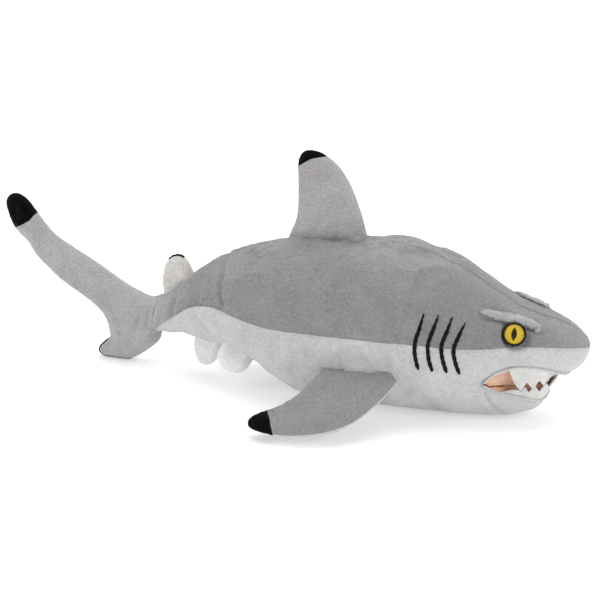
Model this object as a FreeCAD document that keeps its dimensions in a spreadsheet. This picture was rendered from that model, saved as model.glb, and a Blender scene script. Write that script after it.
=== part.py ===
# Plush reef shark, soft toy, about 495 mm nose to tail.
# Frame: millimetres, +X to the snout, +Y to the shark's left, +Z up, origin on the floor under the middle of the box.
# Every fabric piece is a thin closed solid cut from the same stuffed form, with its stuffing as a separate solid inside.
import FreeCAD, Part
import os
import math

V = FreeCAD.Vector
doc = FreeCAD.newDocument("PlushShark")
sheet = doc.addObject("Spreadsheet::Sheet", "Dimensions")
_row = [0]


def put(alias, value, unit=" mm"):
    """One named value of the sheet."""
    _row[0] += 1
    cell = "A%d" % _row[0]
    sheet.set(cell, "=%s%s" % (("%.4f" % value).rstrip("0").rstrip("."), unit))
    sheet.setAlias(cell, alias)
    return "Dimensions." + alias


# ---------------------------------------------------------------- general sizes
put("skin_thickness", 2.0)
put("stuffing_inset", 2.6)
put("fin_skin_thickness", 1.5)
put("fin_stuffing_inset", 1.8)
put("lining_thickness", 1.3)
put("felt_thickness", 1.2)
put("mouth_depth", 13.0)
put("stitch_height", 0.8)
put("tail_hinge_x", -66.0)
put("tail_hinge_radius", 34.0)
put("tail_hinge_clearance", 0.6)
put("caudal_hinge_x", -128.0)
put("caudal_hinge_radius", 13.0)
put("caudal_hinge_clearance", 0.5)
put("eye_width", 17.4)
put("eye_lens_width", 14.7)
put("wide", 400.0)
doc.recompute()

# ---------------------------------------------------------------- helpers
INSET = {"skin": 2.0, "stuff": 2.6, "out": 0.0, "stitch": -0.8, "core": 13.0, "corelining": 11.7, "fskin": 1.5, "fstuff": 1.8}
INSET_EXPR = {
    "out": "0 mm",
    "skin": "Dimensions.skin_thickness",
    "stuff": "Dimensions.stuffing_inset",
    "stitch": "(-1 * Dimensions.stitch_height)",
    "core": "Dimensions.mouth_depth",
    "corelining": "(Dimensions.mouth_depth - Dimensions.lining_thickness)",
    "fskin": "Dimensions.fin_skin_thickness",
    "fstuff": "Dimensions.fin_stuffing_inset",
}
_known = set()


def loft(name, secs, kind, ends=(1.0, 1.0), first=0, last=None):
    """A solid through ellipse sections. secs: (centre, long axis, short axis, long radius, short radius), the radii bound
    to the sheet and made smaller by the inset of `kind`; the end sections also move inward by the inset."""
    sub = list(enumerate(secs))[first:last]
    rings = []
    inset = INSET[kind]
    for k, (i, (c, e1, e2, a, b)) in enumerate(sub):
        a_alias, b_alias = "%s_long_%s" % (name, chr(97 + i)), "%s_short_%s" % (name, chr(97 + i))
        if a_alias not in _known:
            put(a_alias, a)
            put(b_alias, b)
            _known.add(a_alias)
        ring = doc.addObject("Part::Ellipse", "%s_%s_ring_%d" % (name, kind, i))
        e3 = e1.cross(e2)
        c = V(c)
        if k == 0:
            c = c + (secs[i + 1][0] - c).normalize() * inset * ends[0]
        if k == len(sub) - 1:
            c = c + (secs[i - 1][0] - c).normalize() * inset * ends[1]
        ring.MajorRadius = a - inset
        ring.MinorRadius = b - inset
        ring.Placement = FreeCAD.Placement(c, FreeCAD.Rotation(e1, e2, e3, "XYZ"))
        ring.setExpression("MajorRadius", "Dimensions.%s - %s" % (a_alias, INSET_EXPR[kind]))
        ring.setExpression("MinorRadius", "Dimensions.%s - %s" % (b_alias, INSET_EXPR[kind]))
        rings.append(ring)
    lo = doc.addObject("Part::Loft", "%s_%s" % (name, kind))
    lo.Sections = rings
    lo.Solid = True
    lo.Ruled = False
    lo.Closed = False
    return lo


def fuse(name, *objs):
    o = doc.addObject("Part::MultiFuse", name)
    o.Shapes = list(objs)
    return o


def cut(name, base, tool):
    o = doc.addObject("Part::Cut", name)
    o.Base, o.Tool = base, tool
    return o


def common(name, base, tool):
    o = doc.addObject("Part::Common", name)
    o.Base, o.Tool = base, tool
    return o


def mirror(name, src):
    o = doc.addObject("Part::Mirroring", name)
    o.Source = src
    o.Base = V(0, 0, 0)
    o.Normal = V(0, 1, 0)
    return o


def box(name, lo, hi):
    o = doc.addObject("Part::Box", name)
    o.Length, o.Width, o.Height = hi[0] - lo[0], hi[1] - lo[1], hi[2] - lo[2]
    o.Placement = FreeCAD.Placement(V(*lo), FreeCAD.Rotation())
    return o


def region(name, polys, plane="XZ_Plane", size="Dimensions.wide", place=None, spline=None):
    """A slab region: closed outlines drawn on one origin plane and padded both ways. spline: how many of the first points
    of the first outline lie on one smooth curve."""
    body = doc.addObject("PartDesign::Body", name)
    sk = body.newObject("Sketcher::SketchObject", name + "_outline")
    origin = [o for o in body.Origin.OriginFeatures if o.Role == plane][0]
    sk.AttachmentSupport = (origin, [""])
    sk.MapMode = "FlatFace"
    for n, pts in enumerate(polys):
        pts = [V(p[0], p[1], 0) for p in pts]
        start = 0
        if spline and n == 0:
            bs = Part.BSplineCurve()
            bs.interpolate(pts[:spline])
            sk.addGeometry(bs, False)
            start = spline - 1
        for i in range(start, len(pts)):
            a, b = pts[i], pts[(i + 1) % len(pts)]
            sk.addGeometry(Part.LineSegment(a, b), False)
    pad = body.newObject("PartDesign::Pad", name + "_pad")
    pad.Profile = sk
    pad.Length = 400
    pad.setExpression("Length", size)
    try:
        pad.SideType = "Symmetric"
    except Exception:
        pad.Midplane = True
    body.Tip = pad
    if place is not None:
        body.Placement = place
    return body


def turned(name, outline, place):
    """A solid of revolution about its own Z axis."""
    body = doc.addObject("PartDesign::Body", name)
    sk = body.newObject("Sketcher::SketchObject", name + "_profile")
    origin = [o for o in body.Origin.OriginFeatures if o.Role == "XZ_Plane"][0]
    sk.AttachmentSupport = (origin, [""])
    sk.MapMode = "FlatFace"
    n = len(outline)
    for i in range(n):
        a, b = outline[i], outline[(i + 1) % n]
        if len(b) == 3:  # an arc to b through b[2]
            m = b[2]
            sk.addGeometry(Part.Arc(V(a[0], a[1], 0), V(m[0], m[1], 0), V(b[0], b[1], 0)), False)
        else:
            sk.addGeometry(Part.LineSegment(V(a[0], a[1], 0), V(b[0], b[1], 0)), False)
    rev = body.newObject("PartDesign::Revolution", name + "_turn")
    rev.Profile = sk
    axis = [o for o in body.Origin.OriginFeatures if o.Role == "Z_Axis"][0]
    rev.ReferenceAxis = (axis, [""])
    rev.Angle = 360
    body.Tip = rev
    body.Placement = place
    return body


NODES = []


def node(obj, name):
    obj.Label = name
    NODES.append((obj, name))
    return obj


X, Y, Z = V(1, 0, 0), V(0, 1, 0), V(0, 0, 1)

# ---------------------------------------------------------------- stuffed body form
# x, top, bottom, half width
BODY = [
    (-134.0, 49.0, 25.0, 9.0),
    (-117.5, 56.0, 26.5, 13.5),
    (-103.5, 62.0, 29.5, 16.2),
    (-89.5, 71.5, 29.5, 20.9),
    (-71.5, 83.0, 28.0, 27.4),
    (-54.5, 93.5, 25.0, 34.2),
    (-36.5, 103.5, 20.5, 41.4),
    (-15.5, 112.5, 13.0, 49.0),
    (6.5, 118.5, 4.0, 56.0),
    (25.0, 121.0, -1.5, 60.0),
    (45.0, 123.0, -3.0, 62.0),
    (70.5, 125.0, -3.0, 63.0),
    (96.5, 123.0, -3.0, 62.5),
    (119.5, 118.0, -3.0, 60.3),
    (143.5, 110.5, -3.0, 56.0),
    (161.5, 101.5, -2.5, 51.0),
    (173.0, 92.5, -1.5, 46.0),
    (184.5, 81.0, -0.5, 40.5),
    (196.5, 67.0, 2.5, 32.0),
    (208.5, 58.0, 7.5, 24.2),
    (216.5, 50.0, 19.5, 15.0),
    (220.0, 43.0, 27.5, 7.5),
]
body_secs = [(V(x, 0, (t + b) / 2), Z, Y, (t - b) / 2, w) for x, t, b, w in BODY]
# the flatter, wider top of the head and the overhanging snout
HEAD = [
    (148.0, 99.0, 30.0, 50.0),
    (161.5, 98.5, 32.0, 49.5),
    (173.0, 95.0, 32.0, 47.2),
    (184.5, 89.5, 33.0, 43.8),
    (196.5, 85.0, 34.0, 40.3),
    (208.5, 81.5, 35.5, 36.0),
    (217.5, 78.5, 37.0, 31.5),
    (225.0, 75.5, 38.5, 26.5),
    (233.0, 71.5, 42.5, 20.0),
    (240.0, 67.0, 48.0, 13.2),
    (245.5, 63.0, 55.5, 6.0),
]
head_secs = [(V(x, 0, (t + b) / 2), Y, Z, w, (t - b) / 2) for x, t, b, w in HEAD]

forms = {}
for kind, floor in (("out", 0.0), ("skin", 2.0), ("stuff", 2.6)):
    b = loft("body", body_secs, kind)
    h = loft("head", head_secs, kind)
    f = fuse("form_" + kind, b, h)
    forms[kind] = cut("form_%s_on_floor" % kind, f, box("floor_" + kind, (-200, -120, -60), (300, 120, floor)))
    forms["body_" + kind] = b
stitch_form = loft("body", body_secs, "stitch")
core = fuse("mouth_core", loft("body", body_secs, "core", first=13, last=19), loft("head", head_secs, "core", first=0, last=6))
core_lining = fuse("mouth_core_lining", loft("body", body_secs, "corelining", first=13, last=19), loft("head", head_secs, "corelining", first=0, last=6))

# ---------------------------------------------------------------- zones of the hinged lengths of the body
def zone(name, x_alias, r_alias, clear, x, r):
    cyl = doc.addObject("Part::Cylinder", name + "_round")
    cyl.Radius, cyl.Height = r, 400
    cyl.setExpression("Radius", "Dimensions.%s%s" % (r_alias, clear))
    cyl.Placement = FreeCAD.Placement(V(x, 0, -150), FreeCAD.Rotation())
    cyl.setExpression("Placement.Base.x", "Dimensions." + x_alias)
    bx = box(name + "_rear", (x - 300, -200, -150), (x, 200, 250))
    return fuse(name, cyl, bx)


tail_zone = zone("tail_zone", "tail_hinge_x", "tail_hinge_radius", "", -66.0, 34.0)
tail_zone_clear = zone("tail_zone_clear", "tail_hinge_x", "tail_hinge_radius", " + Dimensions.tail_hinge_clearance", -66.0, 34.6)
caudal_zone = zone("caudal_zone", "caudal_hinge_x", "caudal_hinge_radius", "", -128.0, 13.0)
caudal_zone_clear = zone("caudal_zone_clear", "caudal_hinge_x", "caudal_hinge_radius", " + Dimensions.caudal_hinge_clearance", -128.0, 13.5)

# ---------------------------------------------------------------- side seam between grey back and white belly
SEAM = [(-118, 20), (-107.5, 35), (-99.5, 40), (-86, 50), (-71.5, 60), (-57, 65), (-43, 66.5), (-28.5, 65), (-10.5, 62), (11, 61.5), (46, 62.5),
        (71, 63.5), (101, 63.5), (127, 64), (152, 62.5), (167, 62), (181, 63), (191, 64.5), (210, 64.5), (228, 62.5), (239, 61), (252, 60)]
white_zone = region("white_zone", [SEAM + [(270, 60), (270, -60), (-118, -60)]], spline=len(SEAM))
right_half = box("right_half", (-300, -200, -50), (300, 0, 300))
left_half = box("left_half", (-300, 0, -50), (300, 200, 300))

# ---------------------------------------------------------------- mouth
LIP_A = [(174.5, 35), (184, 42), (192, 46.5), (204, 47.5), (215, 46.5), (221, 44), (228, 41), (262, 39), (262, 26), (215, 25), (205, 24.5),
         (196, 25), (188, 27), (181, 30.5)]
LIP_B = [(178.0, 35), (185, 40.3), (192.4, 45.1), (204, 46.1), (214.8, 45.1), (220.6, 42.7), (228, 39.6), (262, 37.6), (262, 27.4),
         (215, 26.4), (205, 25.9), (196.3, 26.4), (188.5, 28.4), (182, 31.6)]
mouth_zone = region("mouth_zone", [LIP_A])
mouth_inner_zone = region("mouth_inner_zone", [LIP_B])
mouth_cutter = cut("mouth_cutter", mouth_zone, core)
mouth_hollow = cut("mouth_hollow", mouth_inner_zone, core_lining)

# ---------------------------------------------------------------- eyes
eye_at, eye_dir = V(196.2, -33.2, 71.9), V(0.14, -0.93, 0.34)
eye_dir.normalize()
eye_place = FreeCAD.Placement(eye_at, FreeCAD.Rotation(Z, eye_dir))
eye_backing = turned("eye_backing_form", [(0, -9), (2.1, -9), (2.1, -1.2), (8.7, -1.2), (8.7, 1.3), (8.2, 2.1), (7.45, 2.1), (7.45, 0.9), (0, 0.9)], eye_place)
eye_lens = turned("eye_lens_form", [(0, 0.9), (7.35, 0.9), (0.6, 4.75, (5.3, 3.023)), (0, 4.75)], eye_place)
eye_washer = turned("eye_washer_form", [(2.2, -4.6), (6.6, -4.6), (6.6, -3.1), (2.2, -3.1)], eye_place)
eye_pocket = turned("eye_pocket", [(0, -9.3), (2.4, -9.3), (2.4, -4.8), (6.9, -4.8), (6.9, -1.2), (8.7, -1.2), (8.7, 7), (0, 7)], eye_place)
eye_pocket_left = mirror("eye_pocket_left", eye_pocket)
eye_backing_left = mirror("eye_backing_left_form", eye_backing)

# ---------------------------------------------------------------- torso
skin_all = cut("skin_all", forms["out"], forms["skin"])
torso_skin = cut("torso_skin", skin_all, tail_zone_clear)
torso_skin_open = cut("torso_skin_open", torso_skin, mouth_zone)
eye_pockets = fuse("eye_pockets", eye_pocket, eye_pocket_left)
torso_skin_eyes = cut("torso_skin_eyes", torso_skin_open, eye_pockets)
torso_grey = cut("torso_grey", torso_skin_eyes, white_zone)
node(common("belly_panel_cut", torso_skin_eyes, white_zone), "belly_panel")
node(common("back_panel_right_cut", torso_grey, right_half), "back_panel_right")
node(common("back_panel_left_cut", torso_grey, left_half), "back_panel_left")
torso_fill = cut("torso_fill", forms["stuff"], tail_zone_clear)
torso_fill_mouth = cut("torso_fill_mouth", torso_fill, mouth_cutter)
node(cut("torso_stuffing_cut", torso_fill_mouth, eye_pockets), "torso_stuffing")
lining_a = cut("lining_a", mouth_cutter, mouth_hollow)
node(common("mouth_lining_cut", lining_a, forms["out"]), "mouth_lining")

node(eye_lens, "eye_lens_right")
node(eye_backing, "eye_backing_right")
node(eye_washer, "eye_washer_right")
node(mirror("eye_lens_left_form", eye_lens), "eye_lens_left")
node(eye_backing_left, "eye_backing_left")
node(mirror("eye_washer_left_form", eye_washer), "eye_washer_left")


def arch(name, a, b, thick, z0, z1, zig, notch):
    """A felt strip standing round an elliptical plan, its edge cut into teeth."""
    oo = loft(name + "_outside", [(V(165, 0, z0), X, Y, a, b), (V(165, 0, z1), X, Y, a, b)], "out")
    ii = loft(name + "_inside", [(V(165, 0, z0 - 1), X, Y, a - thick, b - thick), (V(165, 0, z1 + 1), X, Y, a - thick, b - thick)], "out")
    oo.Ruled = ii.Ruled = True
    ring = cut(name + "_ring", oo, ii)
    side = region(name + "_teeth_side", [zig])
    o = common(name + "_strip", ring, side)
    front = region(name + "_teeth_front", notch, plane="YZ_Plane", size="60 mm", place=FreeCAD.Placement(V(253, 0, 0), FreeCAD.Rotation()))
    return cut(name + "_cut", o, front)


upper_zig = [(193.5, 45.1), (204, 46.0), (214.8, 45.0), (220.6, 42.6), (228, 39.5), (236, 38.9), (236, 32.5), (223.0, 32.5), (221.5, 37.5), (217.8, 31.5),
             (213.8, 38.0), (209.8, 31.0), (205.4, 37.5), (201.5, 29.8), (195.5, 36.0)]
upper_notch = [[(-13, 30), (-9.5, 36.5), (-6, 30)], [(-3.5, 30), (0, 36.5), (3.5, 30)], [(6, 30), (9.5, 36.5), (13, 30)]]
node(arch("upper_teeth", 57.0, 38.6, 1.2, 24, 52, upper_zig, upper_notch), "upper_teeth")
lower_zig = [(186, 29.4), (188.5, 28.5), (196.3, 26.5), (205, 26.0), (215, 26.5), (222, 26.7), (222, 33.0), (212.6, 33.0), (210.6, 29.0), (207.5, 34.0),
             (204, 29.0), (200.5, 34.2), (197, 29.6), (193.5, 34.5), (190, 31.0)]
lower_notch = [[(-12, 35), (-9, 30), (-6, 35)], [(-3, 35), (0, 30), (3, 35)], [(6, 35), (9, 30), (12, 35)]]
low = arch("lower_teeth", 48.5, 28.6, 1.2, 24, 40, lower_zig, lower_notch)
low.Document.getObject("lower_teeth_teeth_front").Placement = FreeCAD.Placement(V(238.5, 0, 0), FreeCAD.Rotation())
node(low, "lower_teeth")

# brow folds: a rolled tuck of the back cover standing over each eye
BROW = [((171, -34.5, 87.6), (0.482, -0.515, 0.709), 1.3), ((177.5, -31.8, 85.45), (0.441, -0.469, 0.765), 2.3), ((185, -28.3, 83.43), (0.375, -0.409, 0.832), 3.0),
        ((192, -25.6, 82.0), (0.296, -0.372, 0.88), 3.2), ((199, -23.6, 80.41), (0.317, -0.346, 0.883), 3.0), ((205, -22.2, 78.75), (0.328, -0.349, 0.878), 2.4),
        ((211, -21.6, 76.72), (0.332, -0.389, 0.859), 1.3)]
brow_secs = []
for k, (p, n, r) in enumerate(BROW):
    p, n = V(p), V(n).normalize()
    t = V(BROW[min(k + 1, len(BROW) - 1)][0]) - V(BROW[max(k - 1, 0)][0])
    t = (t - n * t.dot(n)).normalize()
    brow_secs.append((p + n * 0.5, n.cross(t), n, r, r * 0.95))
brow = cut("brow_fold_shape", cut("brow_fold_form", loft("brow_fold_roll", brow_secs, "out"), forms["out"]), eye_pocket)
node(brow, "brow_fold_right")
node(mirror("brow_fold_left_form", brow), "brow_fold_left")

# gill slits: four satin-stitched bars on each flank
bars = []
for top, mid, low_ in (((131.5, 85), (128, 67), (130, 48)), ((141.5, 86), (137, 66), (140, 47)), ((151, 84), (147, 65), (150, 46)), ((160.5, 81), (155.5, 63.5), (159, 45))):
    bars.append([(top[0] - 0.5, top[1]), (mid[0] - 1.3, mid[1]), (low_[0] - 1.0, low_[1]), (low_[0] + 1.0, low_[1]), (mid[0] + 1.3, mid[1]), (top[0] + 0.5, top[1])])
gill_zone = region("gill_zone", bars)
gills = cut("gill_stitching", common("gill_stitching_solid", stitch_form, gill_zone), forms["out"])
node(common("gill_right_cut", gills, right_half), "gill_stitching_right")
node(common("gill_left_cut", gills, left_half), "gill_stitching_left")

# ---------------------------------------------------------------- tail
tail_skin_a = common("tail_skin_a", skin_all, tail_zone)
tail_skin = cut("tail_skin", tail_skin_a, caudal_zone_clear)
tail_grey = cut("tail_grey", tail_skin, white_zone)
node(common("tail_belly_cut", tail_skin, white_zone), "tail_belly_panel")
node(common("tail_right_cut", tail_grey, right_half), "tail_panel_right")
node(common("tail_left_cut", tail_grey, left_half), "tail_panel_left")
tail_fill = common("tail_fill", forms["stuff"], tail_zone)
node(cut("tail_stuffing_cut", tail_fill, caudal_zone_clear), "tail_stuffing")


# ---------------------------------------------------------------- fins
def fin(name, secs, keep, splits, ends=(0.0, 1.0)):
    """A stuffed fin: skin between two lofts, kept inside `keep`, and its stuffing."""
    outer = loft(name, secs, "out")
    inner = loft(name, secs, "fskin", ends=ends)
    fill = loft(name, secs, "fstuff", ends=ends)
    return common(name + "_skin", cut(name + "_shell", outer, inner), keep), common(name + "_fill", fill, keep)


def wedge(name, origin, axis, up, left_deg, right_deg, reach=160.0, clear=0.45):
    """A wedge of space opening from a hinge line: everything between two planes through the line, for a base which turns."""
    axis = V(axis).normalize()
    up = V(up)
    up = (up - axis * up.dot(axis)).normalize()
    side = axis.cross(up)  # to the hinge's own left
    place = FreeCAD.Placement(V(origin) + up * clear, FreeCAD.Rotation(side, up, side.cross(up), "XYZ"))
    l, r = math.radians(left_deg), math.radians(right_deg)
    pts = [(0, 0), (reach * math.sin(r), reach * math.cos(r)), (reach * math.sin(r) * 0.0 + 0, reach * 1.6), (-reach * math.sin(l), reach * math.cos(l))]
    return region(name, [pts], plane="XY_Plane", size="300 mm", place=place)


# dorsal fin: hinge line along the back
DORSAL = [(114.0, 4.5, 72.5, 11.4), (121.5, 7.0, 70.5, 11.2), (130.0, 11.0, 68.2, 10.6), (141.0, 13.2, 66.0, 9.6), (154.0, 13.5, 61.3, 8.4), (166.0, 13.5, 56.0, 7.1),
          (177.0, 13.8, 49.0, 5.6), (185.0, 16.0, 40.5, 4.0), (189.5, 20.0, 33.0, 2.5)]
dorsal_secs = [(V((r + l) / 2, 0, z), X, Y, (l - r) / 2, t) for z, r, l, t in DORSAL]
dorsal_keep = wedge("dorsal_wedge", (6.5, 0, 118.9), (64, 0, 6.5), (0, 0, 1), 56, 56)
d_skin, d_fill = fin("dorsal", dorsal_secs, dorsal_keep, None)
dorsal_tip_zone = region("dorsal_tip_zone", [[(0, 177.0), (14.5, 177.8), (22, 182.0), (29, 185.2), (37.5, 186.5), (60, 187.0), (60, 210), (0, 210)]])
d_body = cut("dorsal_body", d_skin, dorsal_tip_zone)
node(common("dorsal_tip_cut", d_skin, dorsal_tip_zone), "dorsal_tip")
node(common("dorsal_right_cut", d_body, right_half), "dorsal_panel_right")
node(common("dorsal_left_cut", d_body, left_half), "dorsal_panel_left")
node(d_fill, "dorsal_stuffing")

# second dorsal fin, on the tail, hinge line sloping down with the back
s_o, s_ang = V(-104.0, 0, 62.0), math.atan2(15.5, 24.0)
s_e1, s_e2 = V(math.cos(s_ang), 0, math.sin(s_ang)), V(-math.sin(s_ang), 0, math.cos(s_ang))
SECOND = [(-5.0, -1.0, 33.0, 5.2), (0.0, 0.5, 32.6, 5.2), (7.0, 4.2, 33.0, 4.9), (13.0, 8.4, 33.8, 4.2), (17.0, 12.2, 33.0, 3.5), (20.2, 17.0, 29.0, 2.6)]
second_secs = [(s_o + s_e1 * ((r + l) / 2) + s_e2 * h, s_e1, Y * -1, (l - r) / 2, t) for h, r, l, t in SECOND]
second_keep = wedge("second_wedge", s_o + s_e2 * 0.4, s_e1, s_e2, 56, 56)
s_skin, s_fill = fin("second", second_secs, second_keep, None)
second_edge_zone = region("second_edge_zone", [[(8, 30), (8, 13.6), (14, 16.8), (18, 18.6), (27, 18.9), (35, 15.0), (38, 15), (38, 30)]], plane="XY_Plane", size="60 mm",
                          place=FreeCAD.Placement(s_o, FreeCAD.Rotation(s_e1, s_e2, s_e1.cross(s_e2), "XYZ")))
s_body = cut("second_body", s_skin, second_edge_zone)
node(common("second_edge_cut", s_skin, second_edge_zone), "second_dorsal_edge_stitching")
node(common("second_right_cut", s_body, right_half), "second_dorsal_panel_right")
node(common("second_left_cut", s_body, left_half), "second_dorsal_panel_left")
node(s_fill, "second_dorsal_stuffing")

# tail fin: upper and lower lobe in one cover
P0, T0 = V(-128, 0, 38), math.radians(36.2)


def lobe(s, lo, hi, t, deg=None):
    d, n = V(-math.cos(T0), 0, math.sin(T0)), V(math.sin(T0), 0, math.cos(T0))
    return (P0 + d * s + n * ((lo + hi) / 2), n, Y, (hi - lo) / 2, t)


def tilted(x, z, deg, a, t):
    r = math.radians(deg)
    return (V(x, 0, z), V(math.sin(r), 0, math.cos(r)), Y, a, t)


upper_secs = [tilted(-112, 43.0, 0, 15.6, 14.4), tilted(-123, 42.2, 10, 16.6, 12.2), tilted(-132.5, 43.5, 24, 18.0, 10.6), lobe(15, -19.5, 18, 9.6), lobe(31, -16, 14.6, 8.9),
              lobe(46, -15.5, 13.4, 8.3), lobe(63, -17.5, 12.2, 7.8), lobe(80, -18.7, 9.6, 7.3), lobe(96, -17.3, 7.6, 6.8), lobe(112, -15.5, 9.4, 6.1), lobe(127, -13.8, 13.0, 5.2),
              lobe(138, -8.5, 14.6, 4.2), lobe(146, -2.0, 12.6, 2.9)]
LOWER = [(46.0, -146.0, -113.5, 10.4), (36.0, -151.5, -112.0, 10.2), (28.0, -153.3, -110.0, 9.5), (19.0, -154.5, -110.0, 8.5), (11.5, -161.0, -118.5, 7.2), (6.0, -164.5, -126.5, 5.6),
         (2.2, -163.0, -133.5, 3.6)]
lower_secs = [(V((r + l) / 2, 0, z), X, Y, (l - r) / 2, t) for z, r, l, t in LOWER]
c_out = fuse("caudal_out", loft("caudal_upper", upper_secs, "out"), loft("caudal_lower", lower_secs, "out"))
c_in = fuse("caudal_in", loft("caudal_upper", upper_secs, "fskin", ends=(0.0, 1.0)), loft("caudal_lower", lower_secs, "fskin"))
c_fill = fuse("caudal_fill", loft("caudal_upper", upper_secs, "fstuff", ends=(0.0, 1.0)), loft("caudal_lower", lower_secs, "fstuff"))
c_skin = common("caudal_skin", cut("caudal_shell", c_out, c_in), caudal_zone)
caudal_tip_zone = region("caudal_tip_zone", [[(-218.5, 121), (-227.5, 110), (-240.5, 103), (-270, 96), (-270, 160), (-210, 160)]])
caudal_low_zone = region("caudal_low_zone", [[(-175, 10), (-162, 5.5), (-152, 3.8), (-138, 3.4), (-128, 3.4), (-128, -10), (-175, -10)]])
c_a = cut("caudal_a", c_skin, caudal_tip_zone)
c_b = cut("caudal_b", c_a, caudal_low_zone)
node(common("caudal_tip_cut", c_skin, caudal_tip_zone), "caudal_tip")
node(common("caudal_low_cut", c_a, caudal_low_zone), "caudal_lower_trim")
node(common("caudal_right_cut", c_b, right_half), "caudal_panel_right")
node(common("caudal_left_cut", c_b, left_half), "caudal_panel_left")
node(common("caudal_stuffing_cut", c_fill, caudal_zone), "caudal_stuffing")

# pectoral fins: the base turns about a line along the flank
BETA = math.radians(21.8)
p_u = V(0, -math.cos(BETA), -math.sin(BETA))
p_n = V(0, -math.sin(BETA), math.cos(BETA))
p_o = V(0, -58.6, 34.6)
PECT = [(-2.0, 57.5, 113.6, 9.4), (10.0, 53.8, 111.8, 9.8), (22.0, 50.6, 108.2, 9.8), (33.0, 46.4, 103.8, 9.3), (44.0, 40.2, 98.4, 8.6), (53.0, 30.8, 92.0, 7.6), (60.0, 23.4, 85.4, 6.5),
        (66.5, 20.6, 76.0, 5.3), (71.0, 24.0, 64.8, 4.0), (73.5, 31.0, 53.0, 2.6)]
pect_secs = [(p_o + p_u * u + X * ((r + l) / 2), X, p_n * -1, (l - r) / 2, t) for u, r, l, t in PECT]


def flank_wedge(name, y, z, up_deg, down_deg, reach=140.0):
    """The space outside a hinge line on the flank, between two planes; angles from straight out, up and down."""
    a, b = math.radians(up_deg), math.radians(down_deg)
    pts = [(y, z), (y - reach * math.cos(a), z + reach * math.sin(a)), (y - 2 * reach, z), (y - reach * math.cos(b), z - reach * math.sin(b))]
    return region(name, [pts], plane="YZ_Plane", size="600 mm")


pect_keep = flank_wedge("pectoral_wedge", -58.9, 34.8, 38, 96)
p_skin, p_fill = fin("pectoral", pect_secs, pect_keep, None)
pect_tip_zone = region("pectoral_tip_zone", [[(29.6, -96), (30.0, -104.5), (33.6, -113.7), (40.0, -122.1), (43, -150), (0, -150), (0, -96)]], plane="XY_Plane", size="200 mm")
pect_under = box("pectoral_under", (-50, -200, -200), (250, 50, 0))
pect_under.Placement = FreeCAD.Placement(p_o, FreeCAD.Rotation(X, math.degrees(BETA))).multiply(FreeCAD.Placement(V(-50, -200, -200), FreeCAD.Rotation()))
p_main = cut("pectoral_main", p_skin, pect_tip_zone)
p_parts = {
    "tip": common("pectoral_tip_cut", p_skin, pect_tip_zone),
    "underside": common("pectoral_under_cut", p_main, pect_under),
    "top": cut("pectoral_top_cut", p_main, pect_under),
    "stuffing": p_fill,
}
for part_name, o in p_parts.items():
    node(o, "pectoral_right_" + part_name)
    node(mirror("pectoral_left_%s_form" % part_name, o), "pectoral_left_" + part_name)

# pelvic fins: the base runs along the rising belly, clear of the turning tail
q_slope = V(0.9187, 0, -0.395)
q_u = V(-0.42, -0.45, -0.80).normalize()
q_e1 = (q_slope - q_u * q_slope.dot(q_u)).normalize()
q_n = q_u.cross(q_e1).normalize()
q_o = V(-31.0, -26.0, 27.4)
PELV = [(-3.0, 12.6, 4.8), (4.0, 12.9, 5.2), (9.0, 12.6, 5.0), (13.5, 10.8, 4.4), (17.0, 7.6, 3.4), (18.6, 4.6, 2.5)]
pelv_secs = [(q_o + q_u * u, q_e1, q_n, a, t) for u, a, t in PELV]
pelv_keep = wedge("pelvic_wedge", q_o, q_slope, q_u, 54, 70, clear=0.8)
q_skin, q_fill = fin("pelvic", pelv_secs, pelv_keep, None)
tail_sweep = doc.addObject("Part::Cylinder", "tail_sweep")
tail_sweep.Radius, tail_sweep.Height = 36.2, 120
tail_sweep.setExpression("Radius", "Dimensions.tail_hinge_radius + 2.2 mm")
tail_sweep.Placement = FreeCAD.Placement(V(-66, 0, -10), FreeCAD.Rotation())
q_skin, q_fill = cut("pelvic_skin_clear", q_skin, tail_sweep), cut("pelvic_fill_clear", q_fill, tail_sweep)
pelv_inner_zone = box("pelvic_inner_zone", (-150, 0, -150), (150, 150, 150))
pelv_inner_zone.Placement = FreeCAD.Placement(q_o, FreeCAD.Rotation(q_e1, q_n * (1 if q_n.y > 0 else -1), V(0, 0, 0), "XYZ")).multiply(FreeCAD.Placement(V(-150, 0, -150), FreeCAD.Rotation()))
q_parts = {"inner": common("pelvic_inner_cut", q_skin, pelv_inner_zone), "outer": cut("pelvic_outer_cut", q_skin, pelv_inner_zone), "stuffing": q_fill}
for part_name, o in q_parts.items():
    node(o, "pelvic_right_" + part_name)
    node(mirror("pelvic_left_%s_form" % part_name, o), "pelvic_left_" + part_name)

# anal fin, in the middle of the underside of the tail
a_slope = V(0.9887, 0, -0.1503)
a_u = V(-0.25, 0, -0.968).normalize()
a_e1 = (a_slope - a_u * a_slope.dot(a_u)).normalize()
a_o = V(-64.5, 0, 26.9)
ANAL = [(-3.0, 12.2, 4.8), (4.0, 12.2, 5.0), (10.0, 11.6, 4.8), (15.0, 10.0, 4.3), (19.5, 7.4, 3.6), (22.6, 4.4, 2.5)]
anal_secs = [(a_o + a_u * u, a_e1, Y, a, t) for u, a, t in ANAL]
anal_keep = wedge("anal_wedge", a_o, a_slope, a_u, 56, 56, clear=0.6)
a_skin, a_fill = fin("anal", anal_secs, anal_keep, None)
node(common("anal_right_cut", a_skin, right_half), "anal_fin_panel_right")
node(common("anal_left_cut", a_skin, left_half), "anal_fin_panel_left")
node(a_fill, "anal_fin_stuffing")

doc.recompute()

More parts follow.
